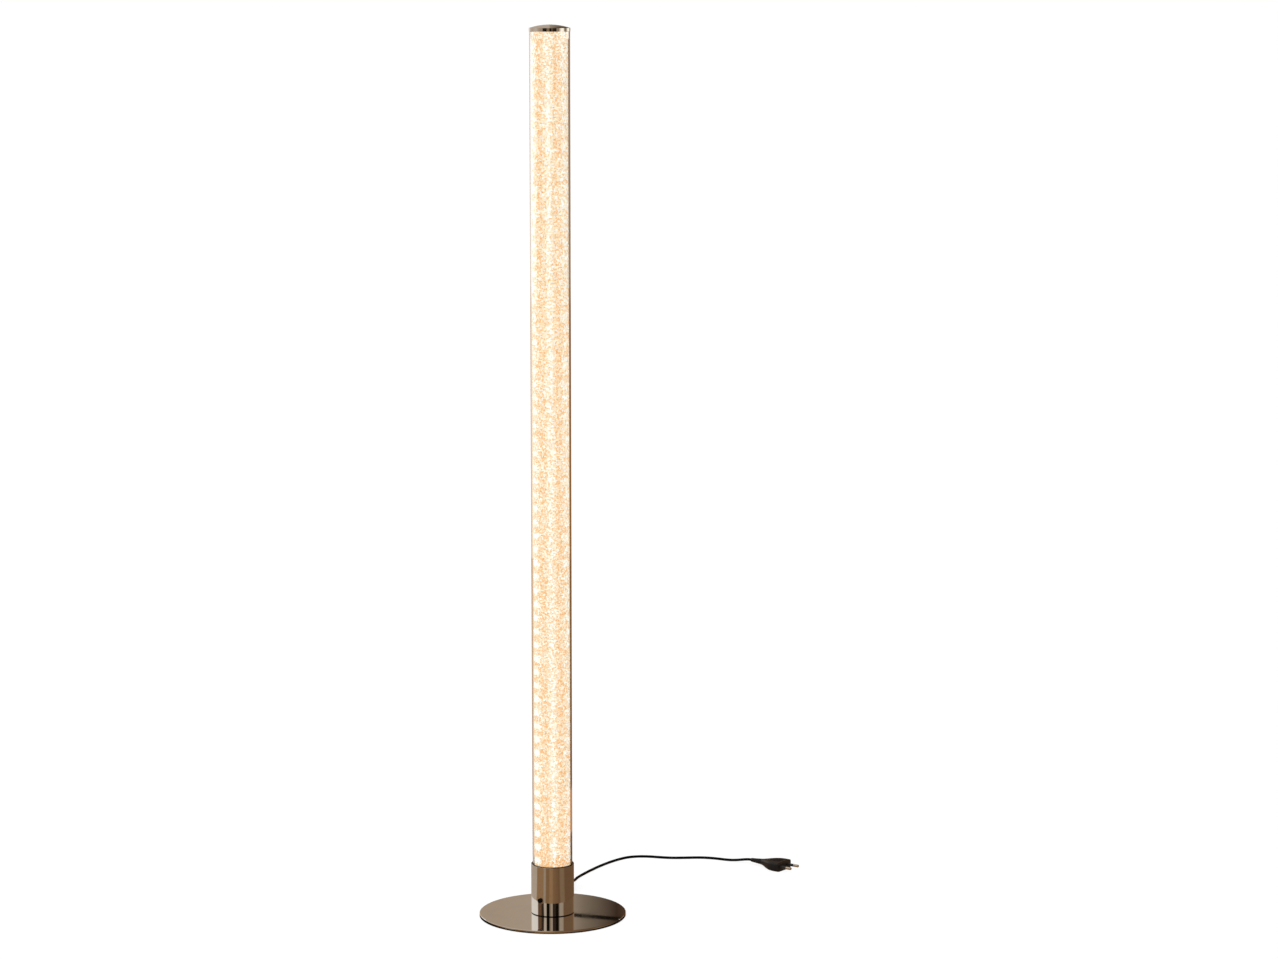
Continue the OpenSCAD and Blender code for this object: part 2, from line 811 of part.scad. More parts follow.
module cut_rectangle(x0, y0, x1, y1, c) {
    polygon([
        [x0 + c, y0], [x1 - c, y0], [x1, y0 + c], [x1, y1 - c],
        [x1 - c, y1], [x0 + c, y1], [x0, y1 - c], [x0, y0 + c]
    ]);
}

// Turns its children to lie along the plug, from the end of the cord towards the pins
module along_plug() {
    translate(plug_start) rotate([0, 0, plug_turn]) children();
}

module plug_body() {
    w = plug_w / 2;
    t = plug_t / 2;
    neck = plug_boot_l - 2;
    grip = plug_l - plug_grip_l;
    color("#151517")
        along_plug()
            difference() {
                union() {
                    rotate([0, 90, 0])
                        cylinder(r1 = cord_r + boot_wall, r2 = plug_boot_r, h = plug_boot_l);
                    intersection() {
                        translate([0, 0, -t])
                            linear_extrude(plug_t)
                                polygon([
                                    [neck, -plug_neck_w],
                                    [plug_boot_l + plug_shoulder_l, -plug_shoulder_w],
                                    [grip - plug_neck_w, -w + plug_edge], [grip, -w],
                                    [plug_l - plug_edge, -w], [plug_l, -w + plug_edge],
                                    [plug_l, w - plug_edge], [plug_l - plug_edge, w],
                                    [grip, w], [grip - plug_neck_w, w - plug_edge],
                                    [plug_boot_l + plug_shoulder_l, plug_shoulder_w],
                                    [neck, plug_neck_w]
                                ]);
                        translate([0, w + cut, 0])
                            rotate([90, 0, 0])
                                linear_extrude(plug_w + 2 * cut)
                                    polygon([
                                        [neck, -plug_neck_t], [plug_boot_l + plug_slope_l, -t],
                                        [plug_l - plug_edge, -t], [plug_l, -t + plug_edge],
                                        [plug_l, t - plug_edge], [plug_l - plug_edge, t],
                                        [plug_boot_l + plug_slope_l, t], [neck, plug_neck_t]
                                    ]);
                    }
                }
                for (side = [-1, 1])
                    translate([plug_l - pin_root_l - slack, side * pin_spacing / 2, 0])
                        rotate([0, 90, 0])
                            cylinder(r = pin_root_r + fit, h = pin_root_l + slack + cut);
            }
}

// Each pin has a thinner root in the plug and a round tip
module plug_pins() {
    r = pin_d / 2;
    color("#c8c2b4")
        along_plug()
            for (side = [-1, 1])
                translate([plug_l, side * pin_spacing / 2, 0])
                    rotate([0, 90, 0]) {
                        translate([0, 0, -pin_root_l]) cylinder(r = pin_root_r, h = pin_root_l + r);
                        cylinder(r = r, h = pin_l - r);
                        translate([0, 0, pin_l - r]) sphere(r = r);
                    }
}

floor_ring();
base_plate();
base_screws();
socket_sleeve();
tube_holder();
tube_gasket();
diffuser_tube();
crackle_film();
led_mast();
led_strip_left();
led_strip_right();
leds_left();
leds_right();
cap_stopper();
stopper_seal();
cap_screw();
top_cap();
driver_board();
driver_parts();
terminal_block();
supply_wires();
led_wires();
switch_wires();
switch_bush();
switch_nut();
switch_body();
switch_contacts();
switch_spring();
push_button();
strain_relief();
gland_nut();
cord_tail();
cord_lead();
cord_coil();
cord_run();
cord_tie();
plug_body();
plug_pins();
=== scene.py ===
"""Looks of a bubble tube floor lamp: a clear tube with a glowing crackled film, chromed ends, a
thin round base, a push button and a coiled mains lead.

Everything is in metres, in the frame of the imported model: +Z up, the front towards -Y, the origin
in the middle of the base on the floor.
"""

import logging
import math
from dataclasses import dataclass
from enum import Enum
from typing import Callable, Mapping, Optional, Sequence, Tuple, Union

import bmesh
import bpy
import numpy as np
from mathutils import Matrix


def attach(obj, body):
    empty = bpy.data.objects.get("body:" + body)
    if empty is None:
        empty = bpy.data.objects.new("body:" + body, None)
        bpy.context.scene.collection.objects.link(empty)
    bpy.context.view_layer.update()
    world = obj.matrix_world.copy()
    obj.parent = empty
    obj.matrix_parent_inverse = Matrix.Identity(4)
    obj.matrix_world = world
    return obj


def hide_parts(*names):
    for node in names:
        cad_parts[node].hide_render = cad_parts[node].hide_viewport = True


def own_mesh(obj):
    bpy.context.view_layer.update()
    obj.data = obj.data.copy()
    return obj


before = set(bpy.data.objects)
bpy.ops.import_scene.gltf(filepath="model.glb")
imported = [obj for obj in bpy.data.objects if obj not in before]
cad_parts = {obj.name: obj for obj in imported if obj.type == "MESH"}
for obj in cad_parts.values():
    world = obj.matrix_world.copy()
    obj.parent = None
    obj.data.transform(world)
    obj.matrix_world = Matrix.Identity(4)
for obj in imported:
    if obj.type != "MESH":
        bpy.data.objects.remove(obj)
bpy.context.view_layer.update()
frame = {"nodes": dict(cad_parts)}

log = logging.getLogger("lamp")

Material = bpy.types.Material
Piece = bpy.types.Object
Socket = bpy.types.NodeSocket
Colour = Tuple[float, float, float]
Point = Tuple[float, float, float]
Stops = Sequence[Tuple[float, Colour]]
Surface = Tuple[np.ndarray, np.ndarray]
Number = Union["Value", float]
Link = Union["Value", Socket, float, Sequence[float]]

LAMP_BODY = "lamp"
ACROSS_X: Point = (1.0, 0.0, 0.0)
UPWARDS: Point = (0.0, 0.0, 1.0)


# ---------------------------------------------------------------- shader maths


def operator(operation: str, swapped: bool = False) -> Callable[["Value", Number], "Value"]:
    """A method of Value that adds a Math node on the value and one other number.

    Args:
        operation: the Math node's operation.
        swapped: whether the other number comes first.

    Returns:
        The method.
    """

    def method(self: "Value", other: Number) -> "Value":
        """Adds the node and gives its result."""
        return self.maths(operation, *((other, self) if swapped else (self, other)))

    return method


class Value:
    """A number socket of a node tree. An expression on it adds the Math nodes that work it out."""

    def __init__(self, tree: bpy.types.NodeTree, socket: Socket) -> None:
        """Wraps a socket.

        Args:
            tree: the tree that the socket's node belongs to.
            socket: an output socket that carries a number.
        """
        self.tree = tree
        self.socket = socket

    def maths(self, operation: str, *operands: Number) -> "Value":
        """Adds a Math node.

        Args:
            operation: the Math node's operation.
            operands: its inputs in order, as values or numbers.

        Returns:
            The node's result.
        """
        node = self.tree.nodes.new("ShaderNodeMath")
        node.operation = operation
        for slot, operand in zip(node.inputs, operands):
            if isinstance(operand, Value):
                self.tree.links.new(operand.socket, slot)
            else:
                slot.default_value = float(operand)
        return Value(self.tree, node.outputs[0])

    __add__, __radd__ = operator("ADD"), operator("ADD", True)
    __sub__, __rsub__ = operator("SUBTRACT"), operator("SUBTRACT", True)
    __mul__, __rmul__ = operator("MULTIPLY"), operator("MULTIPLY", True)
    __truediv__, __pow__ = operator("DIVIDE"), operator("POWER")
    at_least, at_most = operator("MAXIMUM"), operator("MINIMUM")
    # The angle in radians whose sine side is the value and whose cosine side is the other number
    angle_from = operator("ARCTAN2")

    def __neg__(self) -> "Value":
        """Sign turned."""
        return self * -1.0

    def __abs__(self) -> "Value":
        """Size without its sign."""
        return self.maths("ABSOLUTE", self)

    def fraction(self) -> "Value":
        """What is left after the whole number is taken off."""
        return self.maths("FRACT", self)

    def sine(self) -> "Value":
        """Sine of an angle in radians."""
        return self.maths("SINE", self)

    def step(self, low: float, high: float) -> "Value":
        """Smooth rise from 0 to 1.

        Args:
            low: where it is 0.
            high: where it is 1; below low, it falls instead of rising.

        Returns:
            The number from 0 to 1.
        """
        node = self.tree.nodes.new("ShaderNodeMapRange")
        node.interpolation_type = "SMOOTHSTEP"
        falls = low > high
        node.inputs["From Min"].default_value = min(low, high)
        node.inputs["From Max"].default_value = max(low, high)
        node.inputs["To Min"].default_value = 1.0 if falls else 0.0
        node.inputs["To Max"].default_value = 0.0 if falls else 1.0
        self.tree.links.new(self.socket, node.inputs["Value"])
        return Value(self.tree, node.outputs["Result"])


class CellWay(Enum):
    """Ways to measure inside an irregular cell."""

    TO_MIDDLE = "F1"
    TO_RIM = "DISTANCE_TO_EDGE"


class Recipe:
    """The node tree of one material or world, with short calls that add nodes to it."""

    def __init__(self, owner: Union[Material, bpy.types.World]) -> None:
        """Empties the owner's tree.

        Args:
            owner: the material or world to work on.
        """
        owner.use_nodes = True
        self.owner = owner
        self.tree = owner.node_tree
        self.tree.nodes.clear()

    def node(
        self,
        kind: str,
        settings: Optional[Mapping[str, object]] = None,
        inputs: Optional[Mapping[Union[str, int], Link]] = None,
    ) -> bpy.types.Node:
        """Adds any node.

        Args:
            kind: the node's type name.
            settings: its own settings, set first; stops is a colour ramp's places and colours.
            inputs: values or links by the socket's name or number.

        Returns:
            The new node.
        """
        made = self.tree.nodes.new(kind)
        for name, value in (settings or {}).items():
            if name == "stops":
                self._set_stops(made.color_ramp, value)
            else:
                setattr(made, name, value)
        for name, value in (inputs or {}).items():
            slot = made.inputs[name]
            if isinstance(value, (Value, Socket)):
                self.tree.links.new(getattr(value, "socket", value), slot)
            elif isinstance(value, tuple):
                slot.default_value = value + (1.0,) * (len(slot.default_value) - len(value))
            else:
                slot.default_value = value
        return made

    @staticmethod
    def _set_stops(ramp: bpy.types.ColorRamp, stops: Stops) -> None:
        """Puts stops into a colour ramp.

        Args:
            ramp: the ramp; what it held is taken out.
            stops: places from 0 to 1 in rising order, each with its colour.
        """
        while len(ramp.elements) > 1:
            ramp.elements.remove(ramp.elements[-1])
        for i, (place, colour) in enumerate(stops):
            element = ramp.elements[0] if i == 0 else ramp.elements.new(place)
            element.position = place
            element.color = (*colour, 1.0)

    def value(self, socket: Socket) -> Value:
        """A socket as a number that can be worked with."""
        return Value(self.tree, socket)

    def point(self) -> Socket:
        """The shaded point in the piece's own frame, in metres."""
        return self.node("ShaderNodeTexCoord").outputs["Object"]

    def axes(self, point: Socket) -> Tuple[Value, Value, Value]:
        """X, Y and Z of a point."""
        parts = self.node("ShaderNodeSeparateXYZ", inputs={"Vector": point}).outputs
        return self.value(parts[0]), self.value(parts[1]), self.value(parts[2])

    def stretched(self, point: Socket, scale: Point) -> Socket:
        """A point with each of its numbers multiplied, for a pattern that is longer one way."""
        inputs = {0: point, 1: scale}
        return self.node("ShaderNodeVectorMath", {"operation": "MULTIPLY"}, inputs).outputs[0]

    def turned(self, point: Socket, centre: Point, angle: float) -> Socket:
        """A point seen from a centre and turned about Z by an angle in radians."""
        inputs = {"Vector": point, "Location": centre, "Rotation": (0.0, 0.0, angle)}
        return self.node("ShaderNodeMapping", {"vector_type": "TEXTURE"}, inputs).outputs[0]

    def noise(
        self, point: Socket, size: float, detail: float = 2.0, rough: float = 0.5
    ) -> Value:
        """Soft irregular variation.

        Args:
            point: where it is read.
            size: size of its blotches in metres.
            detail: how many finer levels it has.
            rough: strength of the finer levels.

        Returns:
            A number around 0.5.
        """
        inputs = {"Vector": point, "Scale": 1.0 / size, "Detail": detail, "Roughness": rough}
        return self.value(self.node("ShaderNodeTexNoise", {}, inputs).outputs[0])

    def cells(self, point: Socket, size: float, way: CellWay = CellWay.TO_MIDDLE) -> Value:
        """Distance inside a pattern of irregular cells.

        Args:
            point: where it is read.
            size: size of a cell in metres.
            way: what the distance is measured to.

        Returns:
            The distance, in cells.
        """
        inputs = {"Vector": point, "Scale": 1.0 / size}
        node = self.node("ShaderNodeTexVoronoi", {"feature": way.value}, inputs)
        return self.value(node.outputs["Distance"])

    def facets(self, point: Socket, size: float) -> Value:
        """A number from 0 to 1 for each irregular cell of a pattern, the same all over the cell.

        Args:
            point: where it is read.
            size: size of a cell in metres.

        Returns:
            The cell's number.
        """
        node = self.node("ShaderNodeTexVoronoi", {}, {"Vector": point, "Scale": 1.0 / size})
        parts = self.node("ShaderNodeSeparateColor", {}, {"Color": node.outputs["Color"]})
        return self.value(parts.outputs[0])

    def ramp(self, value: Value, stops: Stops) -> Socket:
        """Colour that follows a number along stops."""
        return self.node("ShaderNodeValToRGB", {"stops": stops}, {"Fac": value}).outputs[0]

    def mix(self, factor: Link, first: Link, second: Link) -> Socket:
        """Colour between two, by a factor from 0 to 1."""
        inputs = {0: factor, 6: first, 7: second}
        return self.node("ShaderNodeMix", {"data_type": "RGBA"}, inputs).outputs[2]

    def bump(self, height: Value, depth: float) -> Socket:
        """Normal of a fine relief, whose height from 0 to 1 stands for a depth in metres."""
        inputs = {"Height": height, "Distance": depth, "Strength": 1.0}
        return self.node("ShaderNodeBump", {}, inputs).outputs[0]

    def finish(self, shader: Socket) -> Material:
        """Sends a shader to the material's surface and gives the material."""
        self.node("ShaderNodeOutputMaterial", {}, {"Surface": shader})
        return self.owner

    def principled(self, inputs: Mapping[str, Link]) -> Material:
        """Makes one Principled shader the material's surface and gives the material."""
        return self.finish(self.node("ShaderNodeBsdfPrincipled", {}, inputs).outputs[0])

    def emission(self, colour: Link, strength: float = 1.0) -> Socket:
        """Light of a colour."""
        inputs = {"Color": colour, "Strength": strength}
        return self.node("ShaderNodeEmission", {}, inputs).outputs[0]


def new_recipe(name: str) -> Recipe:
    """The recipe of a new material."""
    return Recipe(bpy.data.materials.new(name))


def times(factor: float, colour: Colour) -> Colour:
    """A colour with each of its numbers multiplied."""
    return tuple(factor * c for c in colour)


# ---------------------------------------------------------------- finishes


@dataclass(frozen=True)
class Plating:
    """Mirror-bright warm chrome with faint smudges and hairlines.

    Between the two heights of each band, the tint is darkened to a tenth: a painted dark reflection
    line on the socket's rims.
    """

    name: str = "warm_chrome"
    tint: Colour = (0.74, 0.69, 0.62)
    roughness: float = 0.03
    smudge: float = 0.04
    smudge_size: float = 0.035
    hairline: float = 2e-7
    hair_size: float = 0.0006
    dust: float = 0.05
    dust_size: float = 0.0012
    # Height ranges of painted dark reflection lines.
    painted_dark_bands: Tuple[Tuple[float, float], ...] = ()
    dark_band_edge: float = 0.0001

    def material(self) -> Material:
        """Builds the finish: smudges from soft noise roughen it and shade its tint a little, and
        painted dark reflection lines darken it between their heights.

        Returns:
            The material.
        """
        r = new_recipe(self.name)
        point = r.point()
        film = r.noise(point, self.smudge_size, 4.0, 0.6).step(0.45, 0.75)
        hairs = r.noise(r.stretched(point, (1.0, 1.0, 0.04)), self.hair_size, 1.0)
        dust = r.noise(point, self.dust_size, 1.0).step(0.72, 0.8)
        colour = r.mix(film, self.tint, times(0.94, self.tint))
        z, edge = r.axes(point)[2], self.dark_band_edge
        # Painted dark reflection: the tint falls to a tenth between each band's two heights.
        for low, high in self.painted_dark_bands:
            inside = z.step(low - edge, low + edge) * z.step(high + edge, high - edge)
            colour = r.mix(inside, colour, times(0.1, self.tint))
        return r.principled({
            "Base Color": colour,
            "Metallic": 1.0,
            "Roughness": self.roughness + self.smudge * film + self.dust * dust,
            "Normal": r.bump(hairs, self.hairline),
        })


@dataclass(frozen=True)
class Moulded:
    """Moulded plastic or rubber with an eroded grain."""

    name: str
    colour: Colour
    roughness: float = 0.42
    grain: float = 0.0005
    depth: float = 0.00002
    specular: float = 0.5
    cloud_size: float = 0.012
    gloss_change: float = 0.12

    def material(self) -> Material:
        """Builds the finish: fine cells give the grain, and soft noise varies its gloss and tone.

        Returns:
            The material.
        """
        r = new_recipe(self.name)
        point = r.point()
        cloud = r.noise(point, self.cloud_size, 3.0)
        lifted = tuple(min(1.0, 1.25 * c + 0.004) for c in self.colour)
        return r.principled({
            "Base Color": r.mix(cloud.step(0.35, 0.75) * 0.6, self.colour, lifted),
            "Roughness": self.roughness + self.gloss_change * (cloud - 0.5),
            "Specular IOR Level": self.specular,
            "Normal": r.bump(r.cells(point, self.grain), self.depth),
        })


@dataclass(frozen=True)
class Brushed:
    """Drawn, brushed or plated metal with streaks along one axis."""

    name: str
    colour: Colour
    along: Point = (1.0, 1.0, 0.03)
    roughness: float = 0.32
    streak: float = 0.0004
    gloss_change: float = 0.15
    depth: float = 0.000003

    def material(self) -> Material:
        """Builds the finish: noise stretched along the grain varies its roughness and tone.

        Returns:
            The material.
        """
        r = new_recipe(self.name)
        streak = r.noise(r.stretched(r.point(), self.along), self.streak, 2.0, 0.7)
        return r.principled({
            "Base Color": r.mix(streak.step(0.3, 0.7), times(0.8, self.colour), self.colour),
            "Metallic": 1.0,
            "Roughness": self.roughness + self.gloss_change * (streak - 0.5),
            "Normal": r.bump(streak, self.depth),
        })


@dataclass(frozen=True)
class Foam:
    """Dense closed-cell foam."""

    name: str = "foam_ring"
    colour: Colour = (0.03, 0.03, 0.033)
    cell: float = 0.0006
    depth: float = 0.0001

    def material(self) -> Material:
        """Builds the finish: open cells about half a millimetre wide, with painted shade darkening
        each towards its middle.

        Returns:
            The material.
        """
        r = new_recipe(self.name)
        cell = r.cells(r.point(), self.cell)
        return r.principled({
            # Painted shade: each cell is darker towards its middle.
            "Base Color": r.mix(cell.step(0.1, 0.7), self.colour, times(2.2, self.colour)),
            "Roughness": 0.95,
            "Specular IOR Level": 0.2,
            "Normal": r.bump(cell, self.depth),
        })


@dataclass(frozen=True)
class ClearAcrylic:
    """Polished clear acrylic of the tube's wall."""

    name: str = "clear_acrylic"
    tint: Colour = (1.0, 0.985, 0.955)
    refraction: float = 1.49
    polish: float = 0.006
    haze: float = 0.012
    wipe_size: float = 0.006

    def material(self) -> Material:
        """Builds the finish: clear, with a faint haze of fine wipe marks in its gloss.

        Returns:
            The material.
        """
        r = new_recipe(self.name)
        point = r.stretched(r.point(), (1.0, 1.0, 0.2))
        wipe = r.noise(point, self.wipe_size, 3.0).step(0.55, 0.8)
        return r.principled({
            "Base Color": self.tint,
            "Roughness": self.polish + self.haze * wipe,
            "IOR": self.refraction,
            "Transmission Weight": 1.0,
        })


@dataclass(frozen=True)
class Glow:
    """How much each part of the film's pattern adds to its brightness, or takes from it."""

    ground: float = 0.43
    column: float = 0.27
    flank: float = 0.25
    between: float = 0.10
    rim: float = 0.10
    facet: float = 0.90
    broad: float = 0.10
    blotch: float = 0.32
    vein: float = 0.42
    end: float = 0.26
    end_facet: float = 0.45
    patch: float = 1.02
    patch_facet: float = 0.5
    whole: float = 0.8


@dataclass(frozen=True)
class CrackleGlow:
    """Crackled film that glows warmly from the LED strips behind it."""

    name: str = "crackle_glow"
    radius: float = 0.0245
    pitch: float = 0.0186
    first_led: float = 0.06275
    foot: float = 0.074
    top: float = 1.2
    facet_size: float = 0.0015
    broad_size: float = 0.0032
    blotch_size: float = 0.008
    ragged_size: float = 0.0026
    vein_size: float = 0.0046
    fleck_size: float = 0.0022
    split: float = 0.004
    drift: Tuple[float, float] = (0.0042, 0.0022)
    patch_tall: Tuple[float, float, float] = (0.0021, 0.0010, 0.0012)
    patch_slope: float = 0.045
    led_half: float = 0.004
    end_from: float = 0.002
    end_to: float = 0.016
    parts: Glow = Glow()
    strength: float = 0.92
    brown: Colour = (0.66, 0.34, 0.13)
    shades: Stops = (
        (0.0, (0.92, 0.52, 0.235)),
        (0.144, (0.94, 0.575, 0.27)),
        (0.296, (0.965, 0.655, 0.39)),
        (0.456, (0.985, 0.785, 0.57)),
        (0.608, (1.0, 0.96, 0.77)),
        (0.768, (1.04, 1.12, 1.03)),
        (1.0, (1.10, 1.32, 1.42)),
    )

    def _patch(self, r: Recipe, point: Socket, low: Value, facet: Value) -> Value:
        """White patches, which start near the film's sides and widen towards them.

        Args:
            r: the film's recipe.
            point: where they are read.
            low: 1 at the film's foot, falling to 0 at its top.
            facet: brightness of the facet, from -0.5 to 0.5, which makes their rims ragged.

        Returns:
            A number from 0 outside a patch to 1 in it.
        """
        x = r.axes(point)[0]
        side = abs(x) / self.radius
        left = x.step(self.split, -self.split)
        start = 0.90 - 0.10 * left - 0.22 * low * (0.35 + 0.65 * left)
        least, lower, lower_left = self.patch_tall
        tallest = least + (lower + lower_left * left) * low
        reach = (self.patch_slope * (side - start)).at_most(tallest)
        ragged = 0.0036 * (r.noise(point, self.ragged_size, 2.0) - 0.5) + 0.0016 * facet
        inside = (reach - self._away(r, point) + ragged).step(-0.0013, 0.0016)
        return inside * (0.4 + 0.6 * (side - start).step(0.0, 0.2))

    def _away(self, r: Recipe, point: Socket) -> Value:
        """Height in metres above or below the nearest LED."""
        level = (r.axes(point)[2] - self.first_led) / self.pitch + 0.5
        return abs(level.fraction() - 0.5) * self.pitch

    def material(self) -> Material:
        """Builds the finish.

        The glow is high straight in front of the strips, at the film's left and right, and in a
        column between them that drifts to the left on the way up. White patches lie at each LED's
        height, larger low down and on the left. Small facets, each with its own brightness, are the
        crackle, and veins and brown flecks lie between them.

        Returns:
            The material.
        """
        r = new_recipe(self.name)
        point = r.point()
        x, _, z = r.axes(point)
        facet = r.facets(point, self.facet_size) - 0.5
        broad = r.facets(point, self.broad_size) - 0.5
        blotch = r.noise(point, self.blotch_size, 3.0, 0.6) - 0.5
        side = abs(x) / self.radius
        left = x.step(self.split, -self.split)
        low = z.step(self.top, self.foot)
        rise, shift = self.drift
        wander = abs(x + rise * z - shift) / self.radius + 0.35 * blotch + 0.08 * facet
        flank = wander.step(0.50, 0.80) * (1.0 - 0.75 * left * low * low)
        patch = self._patch(r, point, low, facet)
        between = (self._away(r, point) - self.led_half).step(0.0, 0.003)
        between = between * side.step(0.50, 0.75)
        vein = r.cells(point, self.vein_size, CellWay.TO_RIM).step(0.06, 0.0)
        fleck = r.noise(point, self.fleck_size, 0.0).step(0.71, 0.78)
        end = z.step(self.foot + self.end_to, self.foot + self.end_from)
        parts = self.parts
        glow = (
            parts.ground
            + parts.column * wander.step(0.36, 0.02)
            + parts.flank * flank
            - parts.between * between
            - parts.rim * side.step(0.93, 1.0)
            + parts.facet * facet
            + parts.broad * broad
            + parts.blotch * blotch
            + parts.vein * vein
            - parts.end * end
            + parts.end_facet * end * facet
        )
        glow = glow + patch * (parts.patch + parts.patch_facet * facet - glow)
        shade = r.ramp((parts.whole * glow).at_least(0.0).at_most(1.0), self.shades)
        shade = r.mix(0.6 * fleck * (1.0 - patch), shade, self.brown)
        return r.principled({
            "Base Color": r.mix(0.5, (0.0, 0.0, 0.0), shade),
            "Roughness": 0.4,
            "Specular IOR Level": 0.2,
            "Emission Color": shade,
            "Emission Strength": self.strength,
        })


@dataclass(frozen=True)
class CordSheath:
    """Smooth black sheath of the lead, a little dusty where it lies."""

    name: str = "cord_sheath"
    colour: Colour = (0.0028, 0.0026, 0.0027)
    scuff_size: float = 0.02
    line_size: float = 0.0007
    depth: float = 0.000015

    def material(self) -> Material:
        """Builds the finish: extrusion lines and soft scuffs vary its gloss.

        Returns:
            The material.
        """
        r = new_recipe(self.name)
        point = r.point()
        scuff = r.noise(point, self.scuff_size, 4.0, 0.6).step(0.5, 0.8)
        return r.principled({
            "Base Color": r.mix(scuff * 0.5, self.colour, times(2.4, self.colour)),
            "Roughness": 0.5 + 0.2 * scuff,
            "Specular IOR Level": 0.06,
            "Normal": r.bump(r.noise(point, self.line_size, 2.0), self.depth),
        })


@dataclass(frozen=True)
class StrapWeave:
    """Woven hook-and-loop strap."""

    name: str = "strap_weave"
    colour: Colour = (0.014, 0.014, 0.016)
    thread: float = 0.00045
    loop: float = 0.0007
    depth: float = 0.00012

    def material(self) -> Material:
        """Builds the finish: threads over and under in a plain weave, with loose loops on top, and
        painted shade making the colour darker where the weave dips.

        Returns:
            The material.
        """
        r = new_recipe(self.name)
        point = r.point()
        x, y, z = r.axes(point)
        turn = 2.0 * math.pi / self.thread
        weave = (x * turn).sine() * ((y + z) * turn).sine() * 0.5 + 0.5
        return r.principled({
            # Painted shade: the colour is darker where the weave dips and lighter where it rises.
            "Base Color": r.mix(weave * 0.7, self.colour, times(3.0, self.colour)),
            "Roughness": 0.9,
            "Sheen Weight": 0.25,
            "Specular IOR Level": 0.25,
            "Normal": r.bump(0.6 * weave + 0.4 * r.cells(point, self.loop), self.depth),
        })


@dataclass(frozen=True)
class PinMetal:
    """Plug pin: bright metal at its tip and a black sleeve next to the plug."""

    name: str = "pin_metal"
    origin: Point = (0.288, 0.270, 0.00685)
    turn: float = -38.0
    sleeve_end: float = 0.067
    sleeve_edge: float = 0.00008
    metal: Colour = (0.75, 0.72, 0.66)
    sleeve: Colour = (0.016, 0.016, 0.018)
    rub_size: float = 0.0004
    depth: float = 0.000004

    def material(self) -> Material:
        """Builds the finish: the distance along the plug tells sleeve from bare metal.

        Returns:
            The material.
        """
        r = new_recipe(self.name)
        local = r.turned(r.point(), self.origin, math.radians(self.turn))
        edge = self.sleeve_edge
        bare = r.axes(local)[0].step(self.sleeve_end - edge, self.sleeve_end + edge)
        rub = r.noise(r.stretched(local, (0.1, 1.0, 1.0)), self.rub_size, 2.0)
        return r.principled({
            "Base Color": r.mix(bare, self.sleeve, self.metal),
            "Metallic": bare,
            "Roughness": 0.42 - 0.2 * bare + 0.1 * (rub - 0.5),
            "Normal": r.bump(rub, self.depth),
        })


@dataclass(frozen=True)
class BoardMask:
    """Green solder mask with copper tracks under it and tinned pads."""

    name: str = "board_mask"
    mask: Colour = (0.018, 0.13, 0.055)
    track: Colour = (0.05, 0.24, 0.10)
    tin: Colour = (0.62, 0.62, 0.60)
    grid: float = 0.00254
    area_size: float = 0.007
    pad_size: float = 0.005
    depth: float = 0.00003

    def material(self) -> Material:
        """Builds the finish: broken lines on a grid are tracks, and some crossings are pads.

        Returns:
            The material.
        """
        r = new_recipe(self.name)
        point = r.point()
        x, _, z = r.axes(point)
        across = abs((x / self.grid).fraction() - 0.5)
        up = abs((z / self.grid).fraction() - 0.5)
        area = r.noise(point, self.area_size, 1.0)
        lines = across.step(0.16, 0.12) * area.step(0.48, 0.5)
        lines = lines.at_least(up.step(0.16, 0.12) * area.step(0.5, 0.48))
        ring = across * across + up * up
        pads = ring.step(0.03, 0.02) * r.noise(point, self.pad_size, 0.0).step(0.55, 0.57)
        return r.principled({
            "Base Color": r.mix(pads, r.mix(lines, self.mask, self.track), self.tin),
            "Metallic": pads,
            "Roughness": 0.3 + 0.1 * lines,
            "Normal": r.bump(lines.at_least(pads), self.depth),
        })


@dataclass(frozen=True)
class StripMask:
    """White LED strip with pale tracks and a line where each length may be cut."""

    name: str = "strip_mask"
    mask: Colour = (0.86, 0.85, 0.82)
    track: Colour = (0.78, 0.77, 0.74)
    copper: Colour = (0.72, 0.40, 0.20)
    ink: Colour = (0.05, 0.05, 0.05)
    foot: float = 0.0567
    section: float = 0.0558
    track_at: float = 0.0024
    pad_at: float = 0.0018
    depth: float = 0.00002

    def material(self) -> Material:
        """Builds the finish: two tracks run along it, and copper pads stand at each cut line.

        Returns:
            The material.
        """
        r = new_recipe(self.name)
        point = r.point()
        _, y, z = r.axes(point)
        tracks = abs(abs(y) - self.track_at).step(0.0009, 0.0007)
        cut = abs(((z - self.foot) / self.section).fraction() - 0.5) * self.section
        pads = cut.step(0.0014, 0.0012) * abs(abs(y) - self.pad_at).step(0.0010, 0.0008)
        face = r.mix(pads, r.mix(tracks, self.mask, self.track), self.copper)
        return r.principled({
            "Base Color": r.mix(cut.step(0.00016, 0.0001), face, self.ink),
            "Roughness": 0.4 + 0.1 * r.noise(point, 0.002, 2.0),
            "Metallic": pads * 0.8,
            "Normal": r.bump(tracks, self.depth),
        })


